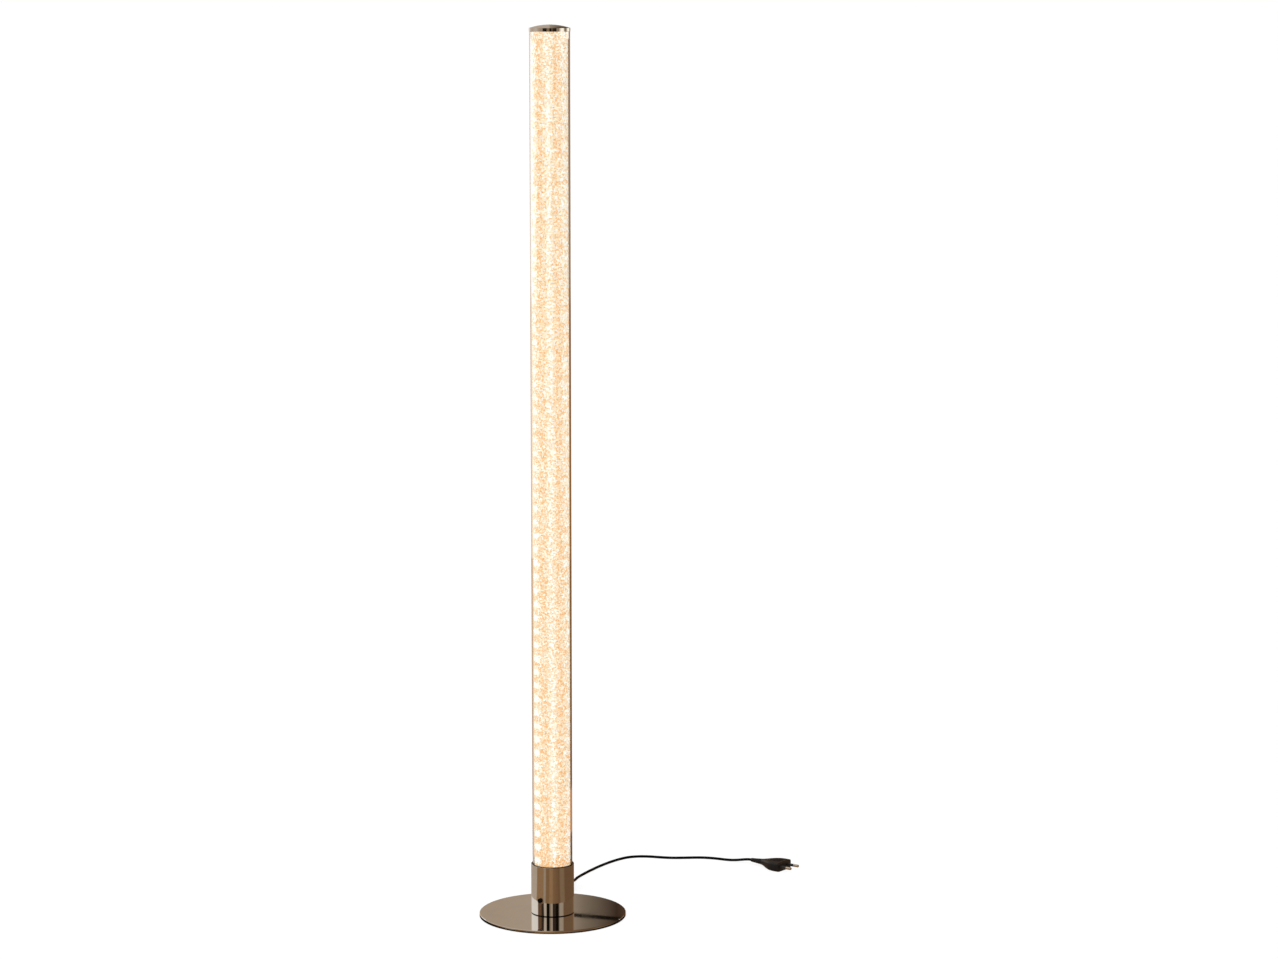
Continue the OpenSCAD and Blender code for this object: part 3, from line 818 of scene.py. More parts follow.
@dataclass(frozen=True)
class LedResin:
    """Yellow phosphor resin in a white frame, lit."""

    name: str = "led_resin"
    pitch: float = 0.0186
    first_led: float = 0.06275
    lens_r: float = 0.0012
    lens_edge: float = 0.0001
    resin: Colour = (1.0, 0.72, 0.30)
    frame: Colour = (0.88, 0.86, 0.80)
    glow: Colour = (1.0, 0.86, 0.62)
    dim: Colour = (0.05, 0.04, 0.03)
    depth: float = 0.0001

    def material(self) -> Material:
        """Builds the finish: a round lens of resin in the middle of each LED's face.

        Returns:
            The material.
        """
        r = new_recipe(self.name)
        point = r.point()
        _, y, z = r.axes(point)
        level = (z - self.first_led) / self.pitch + 0.5
        up = (level.fraction() - 0.5) * self.pitch
        out = (y * y + up * up) ** 0.5
        lens = out.step(self.lens_r + self.lens_edge, self.lens_r - self.lens_edge)
        return r.principled({
            "Base Color": r.mix(lens, self.frame, self.resin),
            "Roughness": 0.35 + 0.1 * r.noise(point, 0.0008, 2.0),
            "Emission Color": r.mix(lens, self.dim, self.glow),
            "Emission Strength": 2.0,
            "Normal": r.bump(lens, self.depth),
        })


@dataclass(frozen=True)
class PartsByPlace:
    """The driver's parts, each in its own colour by where it stands on the board."""

    name: str = "driver_parts"
    board_back: float = 0.0036
    split_z: float = 0.0242
    edge: float = 0.0002
    tape: Colour = (0.78, 0.55, 0.10)
    ferrite: Colour = (0.035, 0.033, 0.032)
    can: Colour = (0.03, 0.04, 0.10)
    pale: Colour = (0.5, 0.5, 0.48)
    grain: float = 0.0005
    depth: float = 0.00002

    def material(self) -> Material:
        """Builds the finish: the block high on the back is taped yellow round its waist, the can
        below it is dark blue with a pale stripe, and the rest is black with a moulded grain.

        Returns:
            The material.
        """
        r = new_recipe(self.name)
        point = r.point()
        x, y, z = r.axes(point)
        behind = y.step(self.board_back - self.edge, self.board_back + self.edge)
        high = z.step(self.split_z - self.edge, self.split_z + self.edge)
        taped = behind * high * abs(x).step(0.0048, 0.0046)
        can = behind * (1.0 - high) * x.step(0.0005, -0.0005)
        stripe = can * abs(x + 0.0065).step(0.0007, 0.0005)
        colour = r.mix(can, r.mix(taped, self.ferrite, self.tape), self.can)
        return r.principled({
            "Base Color": r.mix(stripe, colour, self.pale),
            "Roughness": 0.5 - 0.15 * taped,
            "Normal": r.bump(r.cells(point, self.grain), self.depth),
        })


# ---------------------------------------------------------------- surfaces


def grid_quads(rows: int, columns: int, round_rows: bool, round_columns: bool) -> np.ndarray:
    """Quads of a grid of points that is stored row by row.

    Each quad joins a point, the next in its row, and the two above them. A direction that goes
    round also joins its last points to its first.

    Args:
        rows: number of rows.
        columns: points in a row.
        round_rows: whether the last row joins the first.
        round_columns: whether a row's last point joins its first.

    Returns:
        An array of quads, four point numbers each.
    """
    i = np.arange(rows if round_rows else rows - 1)
    j = np.arange(columns if round_columns else columns - 1)
    a, b = np.meshgrid(i, j, indexing="ij")
    up, across = (a + 1) % rows, (b + 1) % columns
    corners = (a * columns + b, a * columns + across, up * columns + across, up * columns + b)
    return np.stack(corners, axis=-1).reshape(-1, 4)


def lathe(profile: np.ndarray, sides: int) -> Surface:
    """Turns a closed profile about the Z axis.

    The point at angle a of the profile's point (r, z) is (r cos a, r sin a, z).

    Args:
        profile: rows of radius and height, going round the section with the material on its left.
        sides: points round the axis.

    Returns:
        The points and the quads, facing outwards.
    """
    a = np.linspace(0.0, 2.0 * np.pi, sides, endpoint=False)
    r, z = profile[:, 0:1], profile[:, 1:2]
    points = np.stack([r * np.cos(a), r * np.sin(a), np.broadcast_to(z, (len(r), sides))], axis=-1)
    return points.reshape(-1, 3), grid_quads(len(profile), sides, True, True)


def smooth_path(points: np.ndarray, count: int) -> np.ndarray:
    """Evenly spaced points on a smooth curve through the given ones.

    Between two points the curve is the cubic whose end slopes are those of the chords between
    their neighbours, and it is then read at equal steps of its length.

    Args:
        points: the points to go through.
        count: how many points to return.

    Returns:
        The evenly spaced points.
    """
    ghost = np.vstack([2 * points[0] - points[1], points, 2 * points[-1] - points[-2]])
    t = np.linspace(0.0, 1.0, 13)[:-1, None]
    p0, p1, p2, p3 = (ghost[k : len(ghost) - 3 + k, None, :] for k in range(4))
    curve = 0.5 * (
        2 * p1
        + (p2 - p0) * t
        + (2 * p0 - 5 * p1 + 4 * p2 - p3) * t**2
        + (3 * p1 - p0 - 3 * p2 + p3) * t**3
    )
    dense = np.vstack([curve.reshape(-1, points.shape[1]), points[-1:]])
    run = np.concatenate([[0.0], np.cumsum(np.linalg.norm(np.diff(dense, axis=0), axis=1))])
    at = np.linspace(0.0, run[-1], count)
    return np.stack([np.interp(at, run, dense[:, k]) for k in range(points.shape[1])], axis=1)


def along_path(path: np.ndarray, section: np.ndarray, up: Point) -> Surface:
    """Carries a closed section along a path, and closes both ends on their middle points.

    At each point of the path the section's first number runs along the cross product of the
    path's direction and up, and its second along the cross product of that side and the direction.

    Args:
        path: points of the path.
        section: points of the section, going round to the left as seen against the path; either
            one section, or one for each point of the path.
        up: a direction that is never along the path.

    Returns:
        The points, and the faces as an array of quads.
    """
    heading = np.gradient(path, axis=0)
    heading /= np.linalg.norm(heading, axis=1, keepdims=True)
    side = np.cross(heading, np.array(up))
    side /= np.linalg.norm(side, axis=1, keepdims=True)
    lift = np.cross(side, heading)
    if section.ndim == 2:
        section = np.broadcast_to(section, (len(path), *section.shape))
    rings = (
        path[:, None, :]
        + section[..., 0:1] * side[:, None, :]
        + section[..., 1:2] * lift[:, None, :]
    )
    count = section.shape[1]
    points, quads = rings.reshape(-1, 3), grid_quads(len(path), count, False, True)
    middle = rings[[0, -1]].mean(axis=1)
    k = np.arange(count)
    after = (k + 1) % count
    last = (len(path) - 1) * count
    foot = np.stack([np.full(count, len(points)), after, k, k], axis=1)
    top = np.stack([np.full(count, len(points) + 1), last + k, last + after, last + after], axis=1)
    return np.vstack([points, middle]), np.vstack([quads, foot, top])


def rounded_section(
    half_w: np.ndarray, half_t: np.ndarray, power: np.ndarray, sides: int
) -> np.ndarray:
    """Sections between an ellipse and a rounded rectangle.

    At angle a the point is (w k cos a, t k sin a), where k is (|cos a|^n + |sin a|^n)^(-1/n). Power
    n = 2 is an ellipse, and a larger one is squarer.

    Args:
        half_w: half the width of each section.
        half_t: half the thickness of each section.
        power: the power n of each section.
        sides: points round a section.

    Returns:
        The sections, one after the other.
    """
    a = (np.arange(sides) + 0.5) * 2.0 * np.pi / sides
    c, s, n = np.cos(a)[None, :], np.sin(a)[None, :], power[:, None]
    k = (np.abs(c) ** n + np.abs(s) ** n) ** (-1.0 / n)
    return np.stack([half_w[:, None] * k * c, half_t[:, None] * k * s], axis=-1)


def rounded_profile(corners: np.ndarray, radii: Sequence[float], steps: int) -> np.ndarray:
    """A closed polygon with each corner rounded.

    A corner is replaced by the curve (1 - t)^2 A + 2 t (1 - t) C + t^2 B, where C is the corner and
    A and B lie on its two sides at its radius from it.

    Args:
        corners: the polygon's corners.
        radii: for each corner, how far along its sides the rounding starts.
        steps: points on each rounding.

    Returns:
        The rounded polygon.
    """
    before = np.roll(corners, 1, axis=0) - corners
    after = np.roll(corners, -1, axis=0) - corners
    r = np.asarray(radii)[:, None]
    a = corners + before / np.linalg.norm(before, axis=1, keepdims=True) * r
    b = corners + after / np.linalg.norm(after, axis=1, keepdims=True) * r
    t = np.linspace(0.0, 1.0, steps)[None, :, None]
    curve = (1 - t) ** 2 * a[:, None] + 2 * t * (1 - t) * corners[:, None] + t**2 * b[:, None]
    return curve.reshape(-1, corners.shape[1])


def add_object(name: str, data: bpy.types.ID) -> Piece:
    """Makes an object of some data and puts it into the scene.

    Args:
        name: its name.
        data: its mesh, curve, camera or light.

    Returns:
        The object.
    """
    made = bpy.data.objects.new(name, data)
    bpy.context.scene.collection.objects.link(made)
    log.info("made %s", name)
    return made


def make_piece(name: str, surface: Surface, material: Material, sharp: float = 40.0) -> Piece:
    """Makes a mesh piece at the origin, which stays with the lamp's body.

    Doubled points are merged, and all faces are turned outwards.

    Args:
        name: the piece's name.
        surface: its points in metres, and its faces; a face whose last two numbers are the same is
            a triangle.
        material: its finish.
        sharp: edges steeper than this many degrees stay sharp.

    Returns:
        The piece.
    """
    points, quads = surface
    mesh = bpy.data.meshes.new(name)
    three = quads[:, 2] == quads[:, 3]
    mesh.from_pydata(points.tolist(), [], quads[~three].tolist() + quads[three][:, :3].tolist())
    mesh.polygons.foreach_set("use_smooth", np.ones(len(mesh.polygons), dtype=bool))
    mesh.set_sharp_from_angle(angle=math.radians(sharp))
    mesh.materials.append(material)
    mesh.validate()
    piece = add_object(name, mesh)
    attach(piece, LAMP_BODY)
    work = bmesh.new()
    work.from_mesh(mesh)
    bmesh.ops.remove_doubles(work, verts=work.verts, dist=1e-7)
    bmesh.ops.recalc_face_normals(work, faces=work.faces)
    work.to_mesh(mesh)
    work.free()
    return piece


def dress(material: Material, *nodes: str) -> None:
    """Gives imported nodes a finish, on every one of their material slots.

    Args:
        material: the finish.
        nodes: their names.
    """
    for name in nodes:
        slots = frame["nodes"][name].data.materials
        if not slots:
            slots.append(material)
        for i in range(len(slots)):
            slots[i] = material
        log.info("dressed %s in %s", name, material.name)


# ---------------------------------------------------------------- the lead


@dataclass
class Lead:
    """The mains lead: its cord, strain relief, tie and plug.

    The route's points, out to the coil and away from it, and the plug's knots (distance from the
    cord's end, half width, half thickness and squareness) are in millimetres as in the CAD source.
    """

    diameter: float = 0.0038
    exit: Point = (0.0, 0.0287, 0.013)
    tail: Point = (0.0, 0.02045, 0.013)
    coil_place: Tuple[float, float] = (0.0, 0.133)
    coil_lift: float = 0.0025
    coil_r_in: float = 0.0158
    coil_r_out: float = 0.0265
    coil_layers: int = 4
    layer_turns: float = 2.5
    layer_step: float = 0.0043
    turn_points: int = 24
    bore_gap: float = 0.00005
    gland_r: float = 0.0042
    gland_from: float = 0.02245
    gland_to: float = 0.02865
    flange_r: float = 0.0052
    flange_from: float = 0.02866
    flange_to: float = 0.03065
    boot_from: float = 0.0308
    boot_length: float = 0.0222
    boot_r: Tuple[float, float] = (0.0040, 0.0027)
    boot_groove: float = 0.00075
    tie_near: float = 0.14696
    tie_far: float = 0.16083
    tie_foot: float = 0.0003
    tie_top: float = 0.01765
    tie_half: Tuple[float, float] = (0.00022, 0.004)
    plug_at: Point = (0.288, 0.270, 0.00685)
    plug_turn: float = -38.0
    plug_half_t: float = 6.84
    plug_groove: float = 0.0007
    plug_groove_step: float = 0.0032
    plug_rib_step: float = 0.0024
    plug_knots: Sequence[Sequence[float]] = (
        (0.0, 2.7, 2.7, 2.0), (9.0, 3.45, 3.45, 2.0), (17.6, 4.25, 4.25, 2.0),
        (20.5, 4.9, 4.6, 2.2), (26.0, 8.0, 5.4, 3.0), (33.0, 12.4, 6.4, 4.0),
        (39.5, 15.8, 6.75, 5.0), (46.0, 17.4, 6.82, 6.0), (55.6, 17.6, 6.82, 6.0),
        (56.6, 17.3, 6.62, 6.0), (57.0, 16.6, 5.95, 6.0),
    )
    out: Sequence[Point] = (
        (0, 53, 13), (0, 57, 13), (0.6, 64, 11.8), (2.4, 71, 9.2), (5.2, 78, 7.3), (8.8, 85, 7),
        (12.8, 92, 7), (16.6, 99, 6.9), (20.1, 106, 5.4), (23.2, 113, 3.2), (25.4, 120, 2.4),
        (26.5, 126, 2.5),
    )
    away: Sequence[Point] = (
        (26.6, 142, 14.9), (27.1, 150, 12.6), (27.9, 158, 9), (28.9, 166, 5.4), (30.2, 174, 2.9),
        (32, 182, 2), (34.6, 191, 2), (38, 200, 2), (43, 211, 2), (48, 221, 2), (53, 231, 2),
        (58.5, 241, 2), (64, 251, 2), (70, 261, 2), (76.5, 271, 2), (84, 281.5, 2),
        (92, 291.5, 2), (101, 301, 2), (111, 308.4, 2), (122, 312.1, 2), (133, 312.6, 2),
        (144, 310.8, 2), (155, 307.5, 2), (166, 304.5, 2), (177, 303, 2), (188, 303, 2),
        (199, 303.5, 2), (210, 304, 2), (221, 303, 2), (232, 300, 2), (242.5, 295.5, 2),
        (252.5, 290, 2.1), (262, 284.6, 2.9), (271, 279.8, 4.4), (279, 275.7, 6),
        (284.9, 272.4, 6.8), (288, 270, 6.85),
    )

    def coil(self) -> np.ndarray:
        """The coil's centreline.

        At an angle a of winding the radius runs evenly from the outer to the inner one and back,
        layer by layer, and the height rises by one step, as 3 t^2 - 2 t^3, within the half turn
        round each change of layer.

        Returns:
            Its points, with one cord's width of straight cord at each end.
        """
        leg = 2.0 * np.pi * self.layer_turns
        count = int(self.turn_points * self.layer_turns * self.coil_layers) + 1
        a = np.linspace(0.0, leg * self.coil_layers, count)
        layer = np.minimum(self.coil_layers - 1, np.floor(a / leg + 1e-9))
        t = a / leg - layer
        draw = np.where(layer % 2 == 0, t, 1.0 - t)
        r = self.coil_r_out - (self.coil_r_out - self.coil_r_in) * draw
        j = np.arange(1, self.coil_layers)
        rise = np.clip((a[:, None] - j * leg) / np.pi + 0.5, 0.0, 1.0)
        level = (rise * rise * (3.0 - 2.0 * rise)).sum(axis=1)
        x = self.coil_place[0] + r * np.cos(a)
        y = self.coil_place[1] + r * np.sin(a)
        turns = np.stack([x, y, self.coil_lift + self.layer_step * level], axis=1)
        straight = np.array([0.0, self.diameter, 0.0])
        return np.vstack([turns[:1] - straight, turns, turns[-1:] + straight])

    def centreline(self) -> np.ndarray:
        """The whole cord's points, from its end in the socket to the plug."""
        out, away = np.array(self.out) / 1000, np.array(self.away) / 1000
        return np.vstack([[self.tail], out, self.coil(), away])

    def build_cord(self) -> Piece:
        """Makes the cord, one open spline with its real thickness.

        Returns:
            The piece.
        """
        line = self.centreline()
        curve = bpy.data.curves.new("mains_cord", "CURVE")
        curve.dimensions = "3D"
        curve.resolution_u = 3
        curve.render_resolution_u = 3
        curve.bevel_depth = self.diameter / 2
        curve.bevel_resolution = 6
        curve.use_fill_caps = True
        spline = curve.splines.new("BEZIER")
        spline.bezier_points.add(len(line) - 1)
        spline.bezier_points.foreach_set("co", line.ravel())
        for point in spline.bezier_points:
            point.handle_left_type = "AUTO"
            point.handle_right_type = "AUTO"
        curve.materials.append(CordSheath().material())
        cord = add_object("mains_cord", curve)
        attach(cord, LAMP_BODY)
        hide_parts("cord_tail", "cord_lead", "cord_coil", "cord_run")
        return cord

    def build_boot(self, material: Material) -> Piece:
        """Makes the strain relief: a gland through the wall, a flange and a ribbed tapered boot.

        The boot's radius falls evenly along the axis, less cos^2 grooves along its middle, and its
        bore just clears the cord.

        Args:
            material: its finish.

        Returns:
            The piece.
        """
        bore = self.diameter / 2 + self.bore_gap
        first, last = self.boot_r
        s = np.linspace(0.0, 1.0, 91)
        groove = np.clip(np.cos(2 * np.pi * (s * 6.0 - 0.5)), 0.0, 1.0) ** 2
        groove *= (s > 0.13) & (s < 0.9)
        radius = first + (last - first) * s - self.boot_groove * groove * (1 - 0.35 * s)
        boot = np.stack([radius, self.boot_from + self.boot_length * s], axis=1)
        gland = [
            [bore, self.boot_from + self.boot_length], [bore, self.gland_from],
            [self.gland_r, self.gland_from], [self.gland_r, self.gland_to],
        ]
        corners = [
            [self.gland_r, self.flange_from], [self.flange_r, self.flange_from],
            [self.flange_r, self.flange_to], [first, self.flange_to],
        ]
        flange = rounded_profile(np.array(corners), (0.0, 0.0001, 0.0007, 0.0), 6)
        points, quads = lathe(np.vstack([gland, flange, boot]), 48)
        placed = np.stack([points[:, 0], points[:, 2], self.exit[2] - points[:, 1]], axis=1)
        piece = make_piece("strain_relief_boot", (placed, quads), material)
        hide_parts("strain_relief")
        return piece

    def build_tie(self) -> Piece:
        """Makes the strap round the coil's back.

        Its path goes down the far side, under the turns, up on their near side and over them, and
        its end steps out and laps over its start. Its section is a flat rounded rectangle.

        Returns:
            The piece.
        """
        near, far, foot, top = self.tie_near, self.tie_far, self.tie_foot, self.tie_top
        corners = np.array([[far, foot], [near, foot], [near, top], [far, top]])
        loop = rounded_profile(corners, (0.0012,) * 4, 7)
        lap = [[0.0, 0.0130], [0.0001, 0.0122], [0.00052, 0.0108], [0.0005, 0.0038]]
        knots = np.vstack([[[far, 0.0105]], loop, np.array([far, 0.0]) + lap])
        flat = smooth_path(knots, 150)
        path = np.insert(flat, 0, self.coil_place[0], axis=1)
        half_t, half_w = (np.array([half]) for half in self.tie_half)
        section = rounded_section(half_t, half_w, np.array([6.0]), 24)[0]
        surface = along_path(path, section, ACROSS_X)
        piece = make_piece("cord_tie_strap", surface, StrapWeave().material(), 60.0)
        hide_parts("cord_tie")
        return piece

    def build_plug(self, material: Material) -> Piece:
        """Makes the plug's moulded body.

        Its half width and half thickness are smooth curves of the distance from the cord's end,
        with grooves round the boot and a shallow hollow with ribs on each broad side, and its
        sections go from round to a rounded rectangle.

        Args:
            material: its finish.

        Returns:
            The piece.
        """
        u, half_w, half_t, power = smooth_path(np.array(self.plug_knots), 321).T
        u, half_w, half_t = u / 1000, half_w / 1000, np.minimum(half_t, self.plug_half_t) / 1000
        groove = np.clip(np.cos(2 * np.pi * (u / self.plug_groove_step - 0.5)), 0.0, 1.0) ** 2
        groove *= self.plug_groove * ((u > 0.0024) & (u < 0.0176))
        half_w, half_t = half_w - groove, half_t - groove
        section = rounded_section(half_w, half_t, np.clip(power, 2.0, 6.0), 96)
        ribs = 0.5 + 0.5 * np.cos(2 * np.pi * (u - 0.034) / self.plug_rib_step)
        hollow = np.clip((u - 0.0345) / 0.0015, 0, 1) * np.clip((0.0535 - u) / 0.0015, 0, 1)
        across = np.clip((0.0085 - np.abs(section[..., 0])) / 0.0012, 0, 1)
        depth = (hollow * (0.0008 - 0.00065 * ribs))[:, None] * across
        section[..., 1] -= np.sign(section[..., 1]) * depth
        line = np.stack([u, np.zeros_like(u), np.zeros_like(u)], axis=1)
        points, quads = along_path(line, section, UPWARDS)
        a = math.radians(self.plug_turn)
        turn = np.array([[math.cos(a), -math.sin(a), 0], [math.sin(a), math.cos(a), 0], [0, 0, 1]])
        placed = points @ turn.T + np.array(self.plug_at)
        piece = make_piece("plug_shell", (placed, quads), material)
        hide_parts("plug_body")
        return piece

    def build(self, plastic: Material) -> None:
        """Args:
            plastic: finish of the boot and the plug.
        """
        cord = self.build_cord()
        boot = self.build_boot(plastic)
        tie = self.build_tie()
        plug = self.build_plug(plastic)
        dress(PinMetal(origin=self.plug_at, turn=self.plug_turn).material(), "plug_pins")
        dress(plastic, "gland_nut")


# ---------------------------------------------------------------- the lamp


@dataclass
class Column:
    """The lit column: clear tube, crackled film, mast and LED strips."""

    tube_r: float = 0.0271
    tube_ri: float = 0.0246
    foot: float = 0.0397
    top: float = 1.1999
    edge: float = 0.0003
    film_r: float = 0.0245
    film_ri: float = 0.0242
    gap: float = 0.0001
    wave: float = 0.00005

    def build_tube(self) -> Piece:
        """Makes the clear tube: a wall with its rims broken, turned about the axis.

        Both sides of the section have rings all the way up, close together next to the rims, so
        that the wall's shading stays true up to them.

        Returns:
            The piece.
        """
        near = np.array([self.edge, 2 * self.edge])
        rows = np.linspace(self.foot + 0.002, self.top - 0.002, 30)
        z = np.concatenate([self.foot + near, rows, self.top - near[::-1]])
        outside = np.stack([np.full_like(z, self.tube_r), z], axis=1)
        inside = np.stack([np.full_like(z, self.tube_ri), z[::-1]], axis=1)
        across = np.concatenate([self.tube_r - near, self.tube_ri + near[::-1]])
        over = np.stack([across, np.full(4, self.top)], axis=1)
        under = np.stack([across[::-1], np.full(4, self.foot)], axis=1)
        surface = lathe(np.vstack([outside, over, inside, under]), 256)
        piece = make_piece("clear_tube", surface, ClearAcrylic().material(), 30.0)
        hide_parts("diffuser_tube")
        return piece

    def build_film(self) -> Piece:
        """Makes the film: a thin wall that waves inwards by up to a tenth of a millimetre.

        The inner and the outer radius are both less by w (1 + sin(5 a + 230 z) sin(310 z)), with w
        the wave's size, a the angle round the axis and z the height in metres.

        Returns:
            The piece.
        """
        rows, sides = 420, 160
        z = np.linspace(self.foot + self.gap, self.top - self.gap, rows)
        a = np.linspace(0.0, 2.0 * np.pi, sides, endpoint=False)[None, :]
        swell = np.sin(5.0 * a + 230.0 * z[:, None]) * np.sin(310.0 * z[:, None])
        wave = self.wave * (1.0 + swell)
        radius = np.vstack([self.film_r - wave, (self.film_ri - wave)[::-1]])
        height = np.broadcast_to(np.concatenate([z, z[::-1]])[:, None], radius.shape)
        points = np.stack([radius * np.cos(a), radius * np.sin(a), height], axis=-1)
        surface = points.reshape(-1, 3), grid_quads(2 * rows, sides, True, True)
        piece = make_piece("glowing_film", surface, CrackleGlow().material(), 50.0)
        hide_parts("crackle_film")
        return piece

    def build(self) -> None:
        """Makes the tube and the film and dresses what stands inside them."""
        self.build_tube()
        self.build_film()
        dress(Brushed("mast_aluminium", (0.75, 0.75, 0.76)).material(), "led_mast")
        dress(StripMask().material(), "led_strip_left", "led_strip_right")
        dress(LedResin().material(), "leds_left", "leds_right")


@dataclass
class Shell:
    """Base, socket, cap and the moulded pieces that hold the tube."""

    # Heights of painted dark reflection lines on the socket's chrome, at its foot and at its mouth.
    painted_foot_band: Tuple[float, float] = (0.0045, 0.0061)
    painted_mouth_band: Tuple[float, float] = (0.0731, 0.0745)
    rubber: Colour = (0.012, 0.011, 0.011)
    white: Colour = (0.80, 0.78, 0.74)

    def build(self, steel: Material) -> None:
        """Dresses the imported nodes.

        Args:
            steel: finish of the screws.
        """
        dress(Plating().material(), "top_cap", "switch_bush")
        plate = Plating("plate_chrome", roughness=0.012, smudge=0.012, hairline=1e-7)
        dress(plate.material(), "base_plate")
        # Socket chrome with painted dark reflection lines at its foot and at its mouth.
        socket = Plating("socket_chrome_painted_bands", painted_dark_bands=(self.painted_foot_band, self.painted_mouth_band))
        dress(socket.material(), "socket_sleeve")
        dress(steel, "base_screws", "cap_screw")
        dress(Foam().material(), "floor_ring")
        dress(Moulded("seal_rubber", self.rubber, 0.6).material(), "tube_gasket", "stopper_seal")
        white = Moulded("white_moulding", self.white, 0.45, 0.0006, 0.00001)
        dress(white.material(), "tube_holder", "cap_stopper")


@dataclass
class Switch:
    """The push button and what it works."""

    angle: float = 235.0
    height: float = 0.027
    spring_from: float = 0.0210
    spring_to: float = 0.02314
    spring_r: float = 0.00245
    wire: float = 0.00017
    turns: float = 2.5
    turn_points: int = 28
    black: Colour = (0.002, 0.002, 0.002)
    brass: Colour = (0.75, 0.58, 0.25)

    def build_spring(self, steel: Material) -> Piece:
        """Makes the return spring, a round wire along a screw line.

        At an angle a of winding the wire's centre is r cos a and r sin a across the button's axis
        and rises evenly along it.

        Args:
            steel: its finish.

        Returns:
            The piece.
        """
        a = np.linspace(0.0, 2.0 * np.pi * self.turns, int(self.turn_points * self.turns) + 1)
        b = math.radians(self.angle)
        out = np.array([math.cos(b), math.sin(b), 0.0])
        across = np.array([-math.sin(b), math.cos(b), 0.0])
        up = np.array(UPWARDS)
        rise = np.linspace(self.spring_from + self.wire, self.spring_to - self.wire, len(a))
        path = (
            rise[:, None] * out
            + self.spring_r * (np.cos(a)[:, None] * across + np.sin(a)[:, None] * up)
            + self.height * up
        )
        radius = np.array([self.wire])
        section = rounded_section(radius, radius, np.array([2.0]), 10)[0]
        surface = along_path(path, section, tuple(out))
        piece = make_piece("return_spring", surface, steel)
        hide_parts("switch_spring")
        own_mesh(piece)
        return piece

    def build(self, plastic: Material, steel: Material) -> None:
        """Makes the spring and dresses the rest of the switch.

        Args:
            plastic: finish of the switch's body.
            steel: finish of the spring and the nut.
        """
        self.build_spring(steel)
        dress(plastic, "switch_body")
        button = Moulded("button_black", self.black, 0.55, 0.0004, 0.00001, 0.06)
        dress(button.material(), "push_button")
        dress(steel, "switch_nut")
        dress(Brushed("contact_brass", self.brass).material(), "switch_contacts")


@dataclass
class Electronics:
    """The driver board, its parts and the wires inside the socket."""

    green: Colour = (0.03, 0.22, 0.08)
    core: Colour = (0.12, 0.10, 0.12)
    thin_core: Colour = (0.18, 0.03, 0.025)

    def build(self) -> None:
        """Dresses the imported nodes."""
        dress(BoardMask().material(), "driver_board")
        dress(PartsByPlace().material(), "driver_parts")
        dress(Moulded("terminal_green", self.green, 0.45).material(), "terminal_block")
        dress(Moulded("core_sheath", self.core, 0.4, 0.0004).material(), "supply_wires")
        thin = Moulded("thin_core_sheath", self.thin_core, 0.4, 0.0003)
        dress(thin.material(), "led_wires", "switch_wires")


# ---------------------------------------------------------------- the studio


def by_direction(*tones: Tuple[Union[Colour, float], ...]) -> Stops:
    """Stops of a colour ramp from the tones met on a way round the lamp.

    Args:
        tones: each tone, with the degrees from -180 to 180 where it starts and ends, or only where
            it stands; between two tones the colour blends.

    Returns:
        The stops, with the way round as a number from 0 to 1.
    """
    return tuple((0.5 + degrees / 360.0, tone) for tone, *places in tones for degrees in places)


class RoomPart(Enum):
    """Parts of the room, each with its own tones round the lamp."""

    FLOOR = "floor near the lamp, which the upper part of the socket mirrors"
    FAR_FLOOR = "floor further off, which is seen through the clear wall's edge"
    LOW_WALL = "wall below 0.6 m, seen only through the clear wall's edge"
    MIDDLE_WALL = "wall round 0.8 m, which the base mirrors, straight or by way of the socket"
    HIGH_WALL = "wall round 1.16 m, which the cap's side mirrors"
    TOP_WALL = "wall above 1.18 m, which the cap's dome and the plate's bevel mirror"


